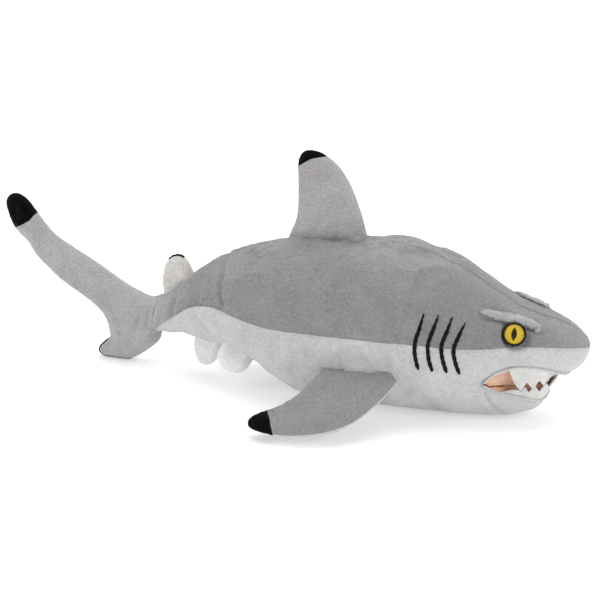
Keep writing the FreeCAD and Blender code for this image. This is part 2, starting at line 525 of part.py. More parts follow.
bad = [o.Name for o in doc.Objects if "Invalid" in o.State or "Error" in o.State]
print("objects in error:", bad)
os.makedirs("parts", exist_ok=True)
for o, name in NODES:
    s = o.Shape
    ok = not s.isNull() and s.isValid() and len(s.Solids) > 0
    b = s.BoundBox
    print("%-32s %s solids %d vol %.0f box (%.1f %.1f %.1f)-(%.1f %.1f %.1f)" % (name, "ok" if ok else "BAD", len(s.Solids), s.Volume if not s.isNull() else 0, b.XMin, b.YMin, b.ZMin, b.XMax, b.YMax, b.ZMax))
    s.exportStep("parts/%s.step" % name)
if bad:
    raise RuntimeError("objects in error: %s" % bad)
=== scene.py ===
import bpy, bmesh, math
import numpy as np
from mathutils import Vector, Matrix, kdtree
from mathutils.geometry import delaunay_2d_cdt


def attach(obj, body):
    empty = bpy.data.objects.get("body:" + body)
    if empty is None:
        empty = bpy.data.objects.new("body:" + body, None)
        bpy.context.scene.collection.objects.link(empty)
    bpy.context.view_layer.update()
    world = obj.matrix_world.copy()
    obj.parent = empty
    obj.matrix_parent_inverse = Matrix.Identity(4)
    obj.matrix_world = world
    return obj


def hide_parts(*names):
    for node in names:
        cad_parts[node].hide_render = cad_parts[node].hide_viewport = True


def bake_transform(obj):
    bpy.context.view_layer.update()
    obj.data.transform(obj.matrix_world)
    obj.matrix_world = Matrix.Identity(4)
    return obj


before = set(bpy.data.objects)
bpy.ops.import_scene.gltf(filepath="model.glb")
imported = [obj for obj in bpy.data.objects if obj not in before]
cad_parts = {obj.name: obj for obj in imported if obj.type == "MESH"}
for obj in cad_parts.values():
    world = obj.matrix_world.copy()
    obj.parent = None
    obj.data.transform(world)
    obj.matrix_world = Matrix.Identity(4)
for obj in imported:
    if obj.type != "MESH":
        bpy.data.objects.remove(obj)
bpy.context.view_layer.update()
MM = 0.001
pi = math.pi


# ------------------------------------------------------------------ numbers
def smooth(a, b, v):
    q = np.clip((np.asarray(v, float) - a) / (b - a), 0, 1)
    return q * q * (3 - 2 * q)


def pchip(xs, ys):
    xs, ys = np.asarray(xs, float), np.asarray(ys, float)
    h, d = np.diff(xs), np.diff(ys) / np.diff(xs)
    m = np.zeros_like(ys)
    m[0], m[-1] = d[0], d[-1]
    for i in range(1, len(xs) - 1):
        if d[i - 1] * d[i] > 0:
            w1, w2 = 2 * h[i] + h[i - 1], h[i] + 2 * h[i - 1]
            m[i] = (w1 + w2) / (w1 / d[i - 1] + w2 / d[i])

    def f(x):
        x = np.clip(x, xs[0], xs[-1])
        i = np.clip(np.searchsorted(xs, x) - 1, 0, len(xs) - 2)
        q = (x - xs[i]) / h[i]
        return ys[i] * (1 + 2 * q) * (1 - q) ** 2 + m[i] * h[i] * q * (1 - q) ** 2 + ys[i + 1] * q * q * (3 - 2 * q) + m[i + 1] * h[i] * q * q * (q - 1)
    return f


def hash3(i, j, k, seed):
    n = (i * 73856093) ^ (j * 19349663) ^ (k * 83492791) ^ (seed * 2654435761)
    n = (n ^ (n >> 13)) & 0x7FFFFFFF
    n = (n * 1274126177 + 12345) & 0x7FFFFFFF
    n = n ^ (n >> 15)
    return (n & 0xFFFF) / 32767.5 - 1.0


def vnoise(P, scale, seed=1):
    """Smooth value noise, -1..1, at points P (n, 3) in mm; scale is a number or one per axis."""
    q = P / np.asarray(scale, float)
    b = np.floor(q).astype(np.int64)
    f = q - b
    f = f * f * (3 - 2 * f)
    out = 0
    for dx in (0, 1):
        for dy in (0, 1):
            for dz in (0, 1):
                w = (f[:, 0] if dx else 1 - f[:, 0]) * (f[:, 1] if dy else 1 - f[:, 1]) * (f[:, 2] if dz else 1 - f[:, 2])
                out = out + w * hash3(b[:, 0] + dx, b[:, 1] + dy, b[:, 2] + dz, seed)
    return out


def seg_dist(P, poly, closed=False):
    """Distance from 2-D points to a polyline, the nearest point, and its place along it."""
    P = np.asarray(P, float)
    A = np.asarray(poly, float)
    B = np.roll(A, -1, 0) if closed else A[1:]
    A = A if closed else A[:-1]
    best = np.full(len(P), 1e9)
    near = np.zeros((len(P), 2))
    along = np.zeros(len(P))
    run = 0.0
    for a, b in zip(A, B):
        d = b - a
        L2 = max(d @ d, 1e-12)
        t = np.clip(((P - a) @ d) / L2, 0, 1)
        c = a + t[:, None] * d
        r = np.hypot(*(P - c).T)
        m = r < best
        best[m], near[m], along[m] = r[m], c[m], run + t[m] * math.sqrt(L2)
        run += math.sqrt(L2)
    return best, near, along


def inside(P, poly):
    P, A = np.asarray(P, float), np.asarray(poly, float)
    B = np.roll(A, -1, 0)
    c = np.zeros(len(P), bool)
    for (x1, y1), (x2, y2) in zip(A, B):
        if y1 == y2:
            continue
        m = ((y1 > P[:, 1]) != (y2 > P[:, 1])) & (P[:, 0] < (x2 - x1) * (P[:, 1] - y1) / (y2 - y1) + x1)
        c ^= m
    return c


def resample(P, n=None, step=None):
    P = np.asarray(P, float)
    L = np.r_[0, np.cumsum(np.linalg.norm(np.diff(P, axis=0), axis=1))]
    n = n or max(2, int(round(L[-1] / step)) + 1)
    s = np.linspace(0, L[-1], n)
    return np.stack([np.interp(s, L, P[:, k]) for k in range(P.shape[1])], 1)


def spline(P, sub=8, closed=False):
    """Catmull-Rom through points."""
    P = np.asarray(P, float)
    n = len(P)
    out = []
    for i in range(n if closed else n - 1):
        p0, p1, p2, p3 = (P[(i + k) % n] if closed else P[min(max(i + k, 0), n - 1)] for k in (-1, 0, 1, 2))
        for t in np.linspace(0, 1, sub, endpoint=False):
            out.append(0.5 * (2 * p1 + (p2 - p0) * t + (2 * p0 - 5 * p1 + 4 * p2 - p3) * t * t + (3 * p1 - p0 - 3 * p2 + p3) * t ** 3))
    if not closed:
        out.append(P[-1])
    return np.array(out)


def mesh(name, V, F, mat, body=None, smooth_faces=True):
    me = bpy.data.meshes.new(name)
    me.from_pydata((np.asarray(V) * MM).tolist(), [], [list(map(int, f)) for f in F])
    me.update()
    if smooth_faces:
        me.polygons.foreach_set("use_smooth", [True] * len(me.polygons))
    o = bpy.data.objects.new(name, me)
    bpy.context.scene.collection.objects.link(o)
    if mat is not None:
        me.materials.append(mat)
    if body:
        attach(o, body)
    return o


def tidy(o, flip=False):
    bm = bmesh.new()
    bm.from_mesh(o.data)
    bmesh.ops.remove_doubles(bm, verts=bm.verts, dist=2e-6)
    loose = [v for v in bm.verts if not v.link_faces]
    bmesh.ops.delete(bm, geom=loose, context="VERTS")
    bmesh.ops.recalc_face_normals(bm, faces=bm.faces)
    if flip:
        bmesh.ops.reverse_faces(bm, faces=bm.faces)
    bm.to_mesh(o.data)
    bm.free()
    o.data.polygons.foreach_set("use_smooth", [True] * len(o.data.polygons))
    return o


def grid_faces(n, m, wrap=False, base=0):
    i = np.arange(n - 1)[:, None]
    j = np.arange(m if wrap else m - 1)[None]
    a = base + i * m + j
    b = base + i * m + (j + 1) % m
    return np.stack([a, b, b + m, a + m], -1).reshape(-1, 4)


# ------------------------------------------------------------------ materials
def nodes_of(name):
    m = bpy.data.materials.new(name)
    m.use_nodes = True
    nt = m.node_tree
    nt.nodes.clear()
    out = nt.nodes.new("ShaderNodeOutputMaterial")
    bs = nt.nodes.new("ShaderNodeBsdfPrincipled")
    nt.links.new(bs.outputs[0], out.inputs[0])
    return m, nt, bs


def srgb(*c):
    return [((v / 255) / 12.92 if v / 255 <= 0.04045 else ((v / 255 + 0.055) / 1.055) ** 2.4) for v in c] + [1]


def noise_node(nt, co, scale, detail=2.0, rough=0.5, mapping=None, rot=(0, 0, 0)):
    mp = nt.nodes.new("ShaderNodeMapping")
    mp.inputs["Scale"].default_value = mapping or (1, 1, 1)
    mp.inputs["Rotation"].default_value = rot
    nt.links.new(co, mp.inputs["Vector"])
    n = nt.nodes.new("ShaderNodeTexNoise")
    n.inputs["Scale"].default_value = scale
    n.inputs["Detail"].default_value = detail
    n.inputs["Roughness"].default_value = rough
    nt.links.new(mp.outputs[0], n.inputs["Vector"])
    return n


def math_node(nt, op, a, b=None, clamp=False):
    n = nt.nodes.new("ShaderNodeMath")
    n.operation = op
    n.use_clamp = clamp
    for k, v in enumerate((a, b)):
        if v is None:
            continue
        if isinstance(v, (int, float)):
            n.inputs[k].default_value = v
        else:
            nt.links.new(v, n.inputs[k])
    return n.outputs[0]


def pile(name, dark, base, light, bump=0.5, sheen=0.35, rough=0.95, speck=0.55, sheen_tint=(1, 1, 1, 1), nap=(0, 0.55, 0), painted_light_by_x=False):
    """Short pile plush: brushed patches, nap streaks leaning one way, and single fibre specks."""
    m, nt, bs = nodes_of(name)
    co = nt.nodes.new("ShaderNodeTexCoord").outputs["Object"]
    patch = noise_node(nt, co, 42, 2, 0.5)
    streak = noise_node(nt, co, 620, 2, 0.6, mapping=(0.62, 1, 1), rot=nap)
    fibre = noise_node(nt, co, 1500, 2, 0.7, mapping=(0.6, 1, 1), rot=nap)
    a = math_node(nt, "MULTIPLY", patch.outputs["Fac"], 0.30)
    b = math_node(nt, "MULTIPLY", streak.outputs["Fac"], 0.75)
    c = math_node(nt, "MULTIPLY", fibre.outputs["Fac"], speck)
    s = math_node(nt, "ADD", math_node(nt, "ADD", a, b), c)
    s = math_node(nt, "DIVIDE", s, 1.05 + speck)
    ramp = nt.nodes.new("ShaderNodeValToRGB")
    el = ramp.color_ramp.elements
    el[0].position, el[0].color = 0.36, dark
    el[1].position, el[1].color = 0.66, light
    mid = el.new(0.51)
    mid.color = base
    nt.links.new(s, ramp.inputs[0])
    col = ramp.outputs[0]
    if painted_light_by_x:
        # painted light and shade: the grey is scaled lighter on the tail, darker on the flanks behind the eyes and
        # lighter again on the snout, where the lamps fall
        sp = nt.nodes.new("ShaderNodeSeparateXYZ")
        nt.links.new(co, sp.inputs[0])
        painted_light_gain = None
        for lo, hi, va, vb in ((-0.108, -0.070, 1.36, 1.0), (0.100, 0.150, 1.0, 0.88), (0.205, 0.235, 1.0, 1.16)):
            mr = nt.nodes.new("ShaderNodeMapRange")
            mr.inputs["From Min"].default_value, mr.inputs["From Max"].default_value = lo, hi
            mr.inputs["To Min"].default_value, mr.inputs["To Max"].default_value = va, vb
            nt.links.new(sp.outputs["X"], mr.inputs["Value"])
            painted_light_gain = mr.outputs[0] if painted_light_gain is None else math_node(nt, "MULTIPLY", painted_light_gain, mr.outputs[0])
        vm = nt.nodes.new("ShaderNodeVectorMath")
        vm.operation = "SCALE"
        nt.links.new(col, vm.inputs[0])
        nt.links.new(painted_light_gain, vm.inputs["Scale"])
        col = vm.outputs[0]
    nt.links.new(col, bs.inputs["Base Color"])
    bs.inputs["Roughness"].default_value = rough
    bs.inputs["Sheen Weight"].default_value = sheen
    bs.inputs["Sheen Roughness"].default_value = 0.45
    bs.inputs["Sheen Tint"].default_value = sheen_tint
    bs.inputs["Specular IOR Level"].default_value = 0.15
    bp = nt.nodes.new("ShaderNodeBump")
    bp.inputs["Strength"].default_value = bump
    bp.inputs["Distance"].default_value = 0.0009
    hb = math_node(nt, "ADD", math_node(nt, "MULTIPLY", streak.outputs["Fac"], 0.9), math_node(nt, "MULTIPLY", fibre.outputs["Fac"], 0.6))
    nt.links.new(hb, bp.inputs["Height"])
    nt.links.new(bp.outputs[0], bs.inputs["Normal"])
    return m


# lit and shaded copies of one plush: the grey and white on the body and pectoral fins are darkened as painted shade,
# and the lighter grey on the dorsal fin, tail fin and brow rolls and the lighter white on the pelvic and anal fins are
# painted light
GREY = pile("grey_pile", srgb(126, 124, 127), srgb(143, 141, 143), srgb(158, 155, 157), bump=0.6, sheen=0.2, painted_light_by_x=True)
GREY_PAINTED_LIT = pile("grey_pile_painted_lit", srgb(150, 147, 149), srgb(167, 164, 165), srgb(182, 179, 179), bump=0.6, sheen=0.22)
WHITE = pile("white_pile", srgb(178, 179, 181), srgb(192, 193, 195), srgb(205, 206, 207), bump=0.4, sheen=0.15, speck=0.4)
WHITE_PAINTED_LIT = pile("white_pile_painted_lit", srgb(216, 216, 215), srgb(229, 229, 228), srgb(238, 238, 237), bump=0.45, sheen=0.15, speck=0.4)
CREAM = pile("light_pile", srgb(184, 181, 177), srgb(205, 202, 197), srgb(222, 220, 215), bump=0.55, sheen=0.25)
BLACK = pile("black_pile", srgb(3, 3, 4), srgb(7, 7, 9), srgb(20, 20, 24), bump=0.7, sheen=0.05, rough=0.9)
BLACK.node_tree.nodes["Principled BSDF"].inputs["Specular IOR Level"].default_value = 0.05


def felt(name, dark, base, light):
    m, nt, bs = nodes_of(name)
    co = nt.nodes.new("ShaderNodeTexCoord").outputs["Object"]
    n1 = noise_node(nt, co, 900, 4, 0.7)
    n2 = noise_node(nt, co, 120, 2, 0.5)
    s = math_node(nt, "ADD", math_node(nt, "MULTIPLY", n1.outputs["Fac"], 0.7), math_node(nt, "MULTIPLY", n2.outputs["Fac"], 0.3))
    ramp = nt.nodes.new("ShaderNodeValToRGB")
    el = ramp.color_ramp.elements
    el[0].position, el[0].color = 0.33, dark
    el[1].position, el[1].color = 0.68, light
    el.new(0.5).color = base
    nt.links.new(s, ramp.inputs[0])
    nt.links.new(ramp.outputs[0], bs.inputs["Base Color"])
    bs.inputs["Roughness"].default_value = 0.92
    bs.inputs["Sheen Weight"].default_value = 0.1
    bs.inputs["Specular IOR Level"].default_value = 0.2
    bp = nt.nodes.new("ShaderNodeBump")
    bp.inputs["Strength"].default_value = 0.35
    bp.inputs["Distance"].default_value = 0.0004
    nt.links.new(n1.outputs["Fac"], bp.inputs["Height"])
    nt.links.new(bp.outputs[0], bs.inputs["Normal"])
    return m


FELT_TAN = felt("felt_lining", srgb(178, 136, 110), srgb(208, 168, 142), srgb(222, 190, 168))
FELT_FOLD = felt("felt_fold_shadow", srgb(104, 52, 36), srgb(128, 66, 48), srgb(150, 90, 68))
FELT_WHITE = felt("felt_teeth", srgb(190, 188, 185), srgb(207, 206, 203), srgb(219, 218, 216))


def thread(name, base, light):
    m, nt, bs = nodes_of(name)
    co = nt.nodes.new("ShaderNodeTexCoord").outputs["Object"]
    n = noise_node(nt, co, 1700, 2, 0.6, mapping=(0.3, 1, 1.6))
    ramp = nt.nodes.new("ShaderNodeValToRGB")
    el = ramp.color_ramp.elements
    el[0].position, el[0].color = 0.4, base
    el[1].position, el[1].color = 0.75, light
    nt.links.new(n.outputs["Fac"], ramp.inputs[0])
    nt.links.new(ramp.outputs[0], bs.inputs["Base Color"])
    bs.inputs["Roughness"].default_value = 0.6
    bs.inputs["Specular IOR Level"].default_value = 0.15
    bp = nt.nodes.new("ShaderNodeBump")
    bp.inputs["Strength"].default_value = 0.5
    bp.inputs["Distance"].default_value = 0.0003
    nt.links.new(n.outputs["Fac"], bp.inputs["Height"])
    nt.links.new(bp.outputs[0], bs.inputs["Normal"])
    return m


THREAD = thread("black_thread", srgb(3, 3, 4), srgb(24, 24, 27))


def plastic(name, col, rough, clear=False, coat=0.0):
    m, nt, bs = nodes_of(name)
    co = nt.nodes.new("ShaderNodeTexCoord").outputs["Object"]
    n = noise_node(nt, co, 300, 3, 0.5)
    ramp = nt.nodes.new("ShaderNodeValToRGB")
    el = ramp.color_ramp.elements
    el[0].position, el[0].color = 0.3, [v * 0.92 for v in col[:3]] + [1]
    el[1].position, el[1].color = 0.7, col
    nt.links.new(n.outputs["Fac"], ramp.inputs[0])
    nt.links.new(ramp.outputs[0], bs.inputs["Base Color"])
    bs.inputs["Roughness"].default_value = rough
    bs.inputs["Coat Weight"].default_value = coat
    bs.inputs["Coat Roughness"].default_value = 0.05
    if clear:
        bs.inputs["Transmission Weight"].default_value = 1.0
        bs.inputs["IOR"].default_value = 1.45
    bp = nt.nodes.new("ShaderNodeBump")
    bp.inputs["Strength"].default_value = 0.04
    bp.inputs["Distance"].default_value = 0.0002
    nt.links.new(n.outputs["Fac"], bp.inputs["Height"])
    nt.links.new(bp.outputs[0], bs.inputs["Normal"])
    return m


EYE_BLACK = plastic("eye_black", srgb(4, 4, 4), 0.35, coat=0.0)
EYE_BLACK.node_tree.nodes["Principled BSDF"].inputs["Specular IOR Level"].default_value = 0.25
WASHER = plastic("washer_plastic", srgb(225, 224, 218), 0.45)


# ------------------------------------------------------------------ body form (mm)
SEC = np.array([
    [-134.0, 49.5, 25.0, 9.0, 37.5, 2.0, 2.0],
    [-126.5, 51.5, 25.2, 11.5, 39.0, 2.0, 2.0],
    [-117.5, 56.0, 26.5, 13.5, 42.0, 2.0, 2.0],
    [-103.5, 62.0, 29.5, 17.0, 46.0, 2.0, 2.0],
    [-89.5, 72.8, 29.5, 21.5, 50.0, 2.0, 2.0],
    [-71.5, 85.2, 28.0, 28.0, 54.0, 2.0, 2.0],
    [-54.5, 95.8, 25.0, 34.7, 57.0, 2.0, 2.0],
    [-36.5, 105.2, 20.5, 41.6, 59.0, 2.05, 2.0],
    [-15.5, 113.0, 13.0, 49.2, 60.0, 2.1, 2.0],
    [6.5, 119.0, 4.0, 55.6, 60.0, 2.1, 2.1],
    [25.0, 121.8, -1.5, 59.4, 60.0, 2.1, 2.2],
    [45.0, 124.0, -3.0, 61.7, 60.0, 2.15, 2.2],
    [70.5, 126.0, -3.0, 63.0, 60.0, 2.15, 2.2],
    [96.5, 124.0, -3.0, 62.5, 60.0, 2.15, 2.2],
    [119.5, 119.0, -3.0, 60.5, 60.0, 2.15, 2.2],
    [143.5, 111.5, -3.0, 56.5, 59.0, 2.2, 2.2],
    [161.5, 102.5, -2.5, 51.5, 58.0, 2.3, 2.2],
    [173.0, 95.0, -1.5, 47.5, 57.0, 2.4, 2.2],
    [184.5, 88.5, -0.5, 43.7, 57.0, 2.5, 2.2],
    [196.5, 84.5, 2.5, 39.7, 58.0, 2.5, 2.2],
    [208.5, 81.0, 6.8, 34.8, 59.0, 2.4, 2.2],
    [217.5, 78.5, 20.3, 29.8, 60.0, 2.3, 2.2],
    [225.0, 75.5, 32.5, 24.9, 60.5, 2.2, 2.25],
    [233.0, 71.5, 38.6, 18.9, 60.5, 2.1, 2.2],
    [239.5, 67.0, 44.6, 12.9, 60.0, 2.0, 2.1],
    [243.4, 63.8, 50.8, 7.6, 59.5, 2.0, 2.0],
    [245.4, 60.4, 57.2, 0.6, 58.8, 2.0, 2.0],
])
TOP, BOT, HW, ZW, NT, NB = (pchip(SEC[:, 0], SEC[:, k]) for k in range(1, 7))


def side_y(x, z):
    """Half width of the form at a place in the side view."""
    x, z = np.asarray(x, float), np.asarray(z, float)
    top, bot, w, zw = TOP(x), BOT(x), HW(x), ZW(x)
    up = z >= zw
    n = np.where(up, NT(x), NB(x))
    h = np.where(up, top - zw, zw - bot)
    q = np.clip(np.abs(z - zw) / h, 0, 1)
    return w * (1 - q ** n) ** (1 / n)


SEAM = spline([(-108, 33.5), (-104, 37), (-99.5, 40.5), (-86, 50), (-71.5, 60), (-57, 65.5), (-43, 67), (-28.5, 65), (-10.5, 62.5), (11, 61.5), (46, 62.5), (71, 63.5), (101, 63.5),
               (127, 64), (152, 62.5), (167, 62.3), (181, 63), (191, 64), (210, 64.5), (228, 62.5), (239, 61), (245.4, 58.8)], 6)
seam_z = lambda x: np.interp(x, SEAM[:, 0], SEAM[:, 1])

X0 = -108.0
u = np.linspace(0, 1, 40)
xs = np.r_[np.arange(X0, 232.0, 1.28), 232 + 13.4 * np.sin(u[1:] * pi / 2)]
xs = np.unique(np.round(xs, 4))
xs[-1] = 245.4
NX = len(xs)
MG, MB = 84, 80
tt = np.linspace(-pi / 2, pi / 2, 1401)
right_belly = np.zeros((NX, MB, 3))
right_grey = np.zeros((NX, MG, 3))
for i, x in enumerate(xs):
    c, s = np.cos(tt), np.sin(tt)
    up = s >= 0
    n = np.where(up, NT(x), NB(x))
    w, zw = HW(x), ZW(x)
    y = w * np.abs(c) ** (2 / n)
    z = zw + np.where(up, TOP(x) - zw, zw - BOT(x)) * np.sign(s) * np.abs(s) ** (2 / n)
    y[0] = y[-1] = 0
    # the weight of the stuffing flattens the belly on the floor
    soft = 2.2
    z = np.where(z < soft, soft * np.exp(np.clip((z - soft) / soft, -6, 0)) * 0.92 + 0.02, z)
    L = np.r_[0, np.cumsum(np.hypot(np.diff(y), np.diff(z)))]
    zb = min(max(seam_z(x), z[0] + 0.02), z[-1] - 0.02)
    k = int(np.argmin(np.abs(z - zb)))
    Lb = float(np.interp(zb, z[max(k - 3, 0):k + 4], L[max(k - 3, 0):k + 4]))
    for arr, a, b, m in ((right_belly, 0, Lb, MB), (right_grey, Lb, L[-1], MG)):
        q = np.linspace(a, b, m)
        arr[i, :, 0] = x
        arr[i, :, 1] = -np.interp(q, L, y)
        arr[i, :, 2] = np.interp(q, L, z)


def normals_of(G):
    du = np.gradient(G, axis=0)
    dv = np.gradient(G, axis=1)
    n = np.cross(du, dv)
    n /= np.maximum(np.linalg.norm(n, axis=2, keepdims=True), 1e-9)
    return n


def mirrored(P):
    Q = P.copy()
    Q[..., 1] *= -1
    return Q


# whole section as one grid: left centre top -> left seam -> belly -> right seam -> right centre top
whole = np.concatenate([mirrored(right_grey)[:, ::-1][:, :-1], mirrored(right_belly)[:, ::-1][:, :-1], right_belly, right_grey[:, 1:]], axis=1)
NV = whole.shape[1]
J_LS = MG - 1                      # left seam column
J_RS = J_LS + 2 * (MB - 1)         # right seam column
J_MID = J_LS + MB - 1
N = normals_of(whole)
# point outward
cen = np.stack([whole[..., 0], np.zeros_like(whole[..., 0]), np.broadcast_to(ZW(xs)[:, None], whole.shape[:2])], -1)
if np.mean(np.sum(N * (whole - cen), -1)) < 0:
    N = -N
N[-1] = (1, 0, 0)

# ---- mouth outline in the side view
LIP_UP = spline([(175.6, 35.0), (178.8, 38.8), (182.2, 42.1), (187.4, 45.0), (193.5, 47.4), (199.5, 48.4), (206, 48.4), (211.5, 47.6), (217.6, 46.2), (222.8, 43.6), (226.6, 41.0), (229.6, 38.6), (232.4, 35.6), (236, 29)], 8)
LIP_LO = spline([(175.6, 35.0), (178.4, 32.2), (183.2, 29.0), (187.9, 27.3), (194.1, 25.2), (200, 23.8), (205.5, 21.8), (210, 19.2), (214.5, 17.0), (220, 15), (234, 12)], 8)
LIPS = np.r_[LIP_UP, LIP_LO[::-1][:-1]]

EYE = Vector((196.2, -33.2, 71.9))
EYE_DIR = Vector((0.14, -0.93, 0.34)).normalized()

RIDGE = spline([(168, -36.4, 88.6), (172, -34.2, 87.3), (177.5, -31.8, 85.45), (185, -28.8, 83.2), (192, -26.6, 81.6), (199, -24.8, 79.9), (205, -23.2, 78.3), (211, -21.8, 76.6), (215, -20.0, 75.8)], 8)


def polyline3_dist(P, line):
    best = np.full(len(P), 1e9)
    off = np.zeros((len(P), 3))
    along = np.zeros(len(P))
    run = 0
    for a, b in zip(line[:-1], line[1:]):
        d = b - a
        L2 = d @ d
        t = np.clip(((P - a) @ d) / L2, 0, 1)
        v = P - (a + t[:, None] * d)
        r = np.linalg.norm(v, axis=1)
        m = r < best
        best[m], off[m], along[m] = r[m], v[m], run + t[m] * math.sqrt(L2)
        run += math.sqrt(L2)
    return best, off, along / run


def body_shape(P, Nn):
    """How far the stuffed cover stands in or out of the plain form, in mm."""
    x, y, z = P[:, 0], P[:, 1], P[:, 2]
    A = P.copy()
    A[:, 1] = np.abs(A[:, 1])
    free = smooth(1.0, 9.0, z)
    d = (0.9 * vnoise(P, 34, 3) + 0.45 * vnoise(P, 15, 4)) * free * smooth(245, 225, x) * smooth(-108, -85, x)
    # creases across the tail, grey flank and a little of the belly
    zs = seam_z(x)
    grey = smooth(-6, 8, z - zs)
    for x0, lean, depth, width, top_fade, sd in ((-32.0, -0.36, 2.9, 2.4, 1.0, 11), (-63.5, -0.10, 1.0, 5.0, 1.0, 12), (-87.5, 0.16, 2.1, 3.0, 1.0, 13), (-95.5, 0.22, 1.7, 2.6, 1.0, 14),
                                           (-104.0, 0.28, 1.9, 2.8, 1.0, 15)):
        xc = x0 + lean * (z - 60) + 1.3 * vnoise(np.stack([z, y * 0.4, 0 * z], 1), 16, sd)
        t = (x - xc) / width
        prof = -np.exp(-t * t) + 0.42 * np.exp(-((t - 2.0) / 1.15) ** 2) + 0.30 * np.exp(-((t + 2.2) / 1.3) ** 2)
        d = d + depth * prof * grey * (0.75 + 0.25 * vnoise(P, 14, sd + 20)) * (1 - 0.6 * smooth(-9, -1, z - TOP(x)))
    # rough gather behind the large crease
    g = np.exp(-((x + 47) / 7.0) ** 2) * smooth(2, 16, z - zs) * smooth(100, 80, z)
    d += g * 0.8 * vnoise(P, (5.0, 9.0, 5.0), 31)
    # brow: a stitched tuck stands up over the eye
    r, off, al = polyline3_dist(A, np.c_[RIDGE[:, 0], -RIDGE[:, 1], RIDGE[:, 2]])
    fade = smooth(0.0, 0.14, al) * smooth(1.0, 0.84, al) * np.where(y > 0, smooth(178, 188, x) * smooth(214, 206, x), 1.0)
    low_side = smooth(0.8, -0.8, off[:, 2] * 0.6 - off[:, 1] * 0.75)   # the side of the tuck towards the eye
    d += fade * 1.2 * np.exp(-(r / 4.4) ** 2)
    d -= fade * 2.4 * low_side * np.exp(-((r - 4.2) / 1.6) ** 2)
    d -= fade * 1.2 * (1 - low_side) * np.exp(-((r - 5.4) / 2.6) ** 2)
    # the top of the head is hollow between the two tucks
    d -= 1.5 * smooth(184, 194, x) * smooth(226, 210, x) * smooth(19, 6, np.abs(y)) * smooth(60, 72, z)
    # socket of the eye
    e = np.linalg.norm(A - np.array([EYE.x, -EYE.y, EYE.z]), axis=1)
    over = (P[:, 0] - EYE.x) * EYE_DIR.x + (np.abs(y) + EYE.y) * -EYE_DIR.y + (z - EYE.z) * EYE_DIR.z
    d -= smooth(13.5, 9.2, e) * np.maximum(0, over + 1.0)
    d -= 0.6 * smooth(12.0, 8.5, e)
    arc = np.abs(np.mod(e - 10.6, 2.6) - 1.3)
    d += 0.32 * np.cos(arc * pi / 1.3) * smooth(9.5, 11.0, e) * smooth(18.5, 15.0, e) * smooth(2, -5, x - EYE.x) * smooth(9, 2, np.abs(z - EYE.z + 1))
    # mouth corner pull
    m = np.hypot(x - 174, z - 35)
    d -= 1.4 * np.exp(-(m / 5.0) ** 2)
    # the cheek folds down from the mouth corner to the floor
    q, _, _ = seg_dist(np.stack([x, z], 1), [(175.5, 31), (176.4, 25), (179.2, 17.7), (183.2, 8.6), (187, 3)])
    d -= 1.5 * np.exp(-(q / 1.9) ** 2) * smooth(36, 28, z) * smooth(1.0, 6.0, z)
    d += 0.8 * np.exp(-((q - 4.2) / 2.4) ** 2) * smooth(34, 26, z) * smooth(1.0, 6.0, z)
    # faint line back from the mouth corner
    q, _, _ = seg_dist(np.stack([x, z], 1), [(172, 35), (165, 40), (158, 43)])
    d -= 0.7 * np.exp(-(q / 1.5) ** 2)
    return d


def seam_pinch(P, dist, along, depth=1.0, width=1.7, pucker=0.35, pitch=7.5, seed=5):
    w = np.exp(-(dist / width) ** 2)
    rip = 0.5 + 0.5 * np.sin(2 * pi * along / pitch + 1.7 * vnoise(np.stack([along, 0 * along, 0 * along], 1), 11, seed))
    return -depth * w - pucker * rip * np.exp(-((dist - 2.2) / 2.6) ** 2)


def pile_relief(P, amp=0.30):
    """Tufts of the nap: short streaks that lean back and down."""
    c, s = math.cos(0.62), math.sin(0.62)
    Q = np.stack([P[:, 0] * c + P[:, 2] * s, P[:, 1], -P[:, 0] * s + P[:, 2] * c], 1)
    return amp * (0.62 * vnoise(Q, (5.2, 2.6, 2.2), 51) + 0.38 * vnoise(Q, (2.8, 1.5, 1.4), 52))


Pw = whole.reshape(-1, 3)
Nw = N.reshape(-1, 3)
disp = body_shape(Pw, Nw)

# distance from the seams, along each section
step = np.linalg.norm(np.diff(whole, axis=1), axis=2)
Lc = np.concatenate([np.zeros((NX, 1)), np.cumsum(step, axis=1)], axis=1)
d_seam = np.minimum(np.abs(Lc - Lc[:, [J_LS]]), np.abs(Lc - Lc[:, [J_RS]])).reshape(-1)
d_top = np.minimum(Lc - Lc[:, [0]], Lc[:, [-1]] - Lc).reshape(-1)
xw = Pw[:, 0]
disp += seam_pinch(Pw, d_seam, xw, 1.15, 1.5, 0.34, 8.0, 5) * smooth(248, 236, xw)
top_on = (smooth(66, 74, xw) + smooth(8, 2, xw)) * smooth(246, 226, xw) * smooth(-108, -96, xw)
disp += seam_pinch(Pw, d_top, xw, 1.2, 1.1, 0.25, 6.5, 6) * top_on
# nose seam: panels draw together at the tip
disp -= 0.6 * np.exp(-((xw - 245) / 3.0) ** 2)


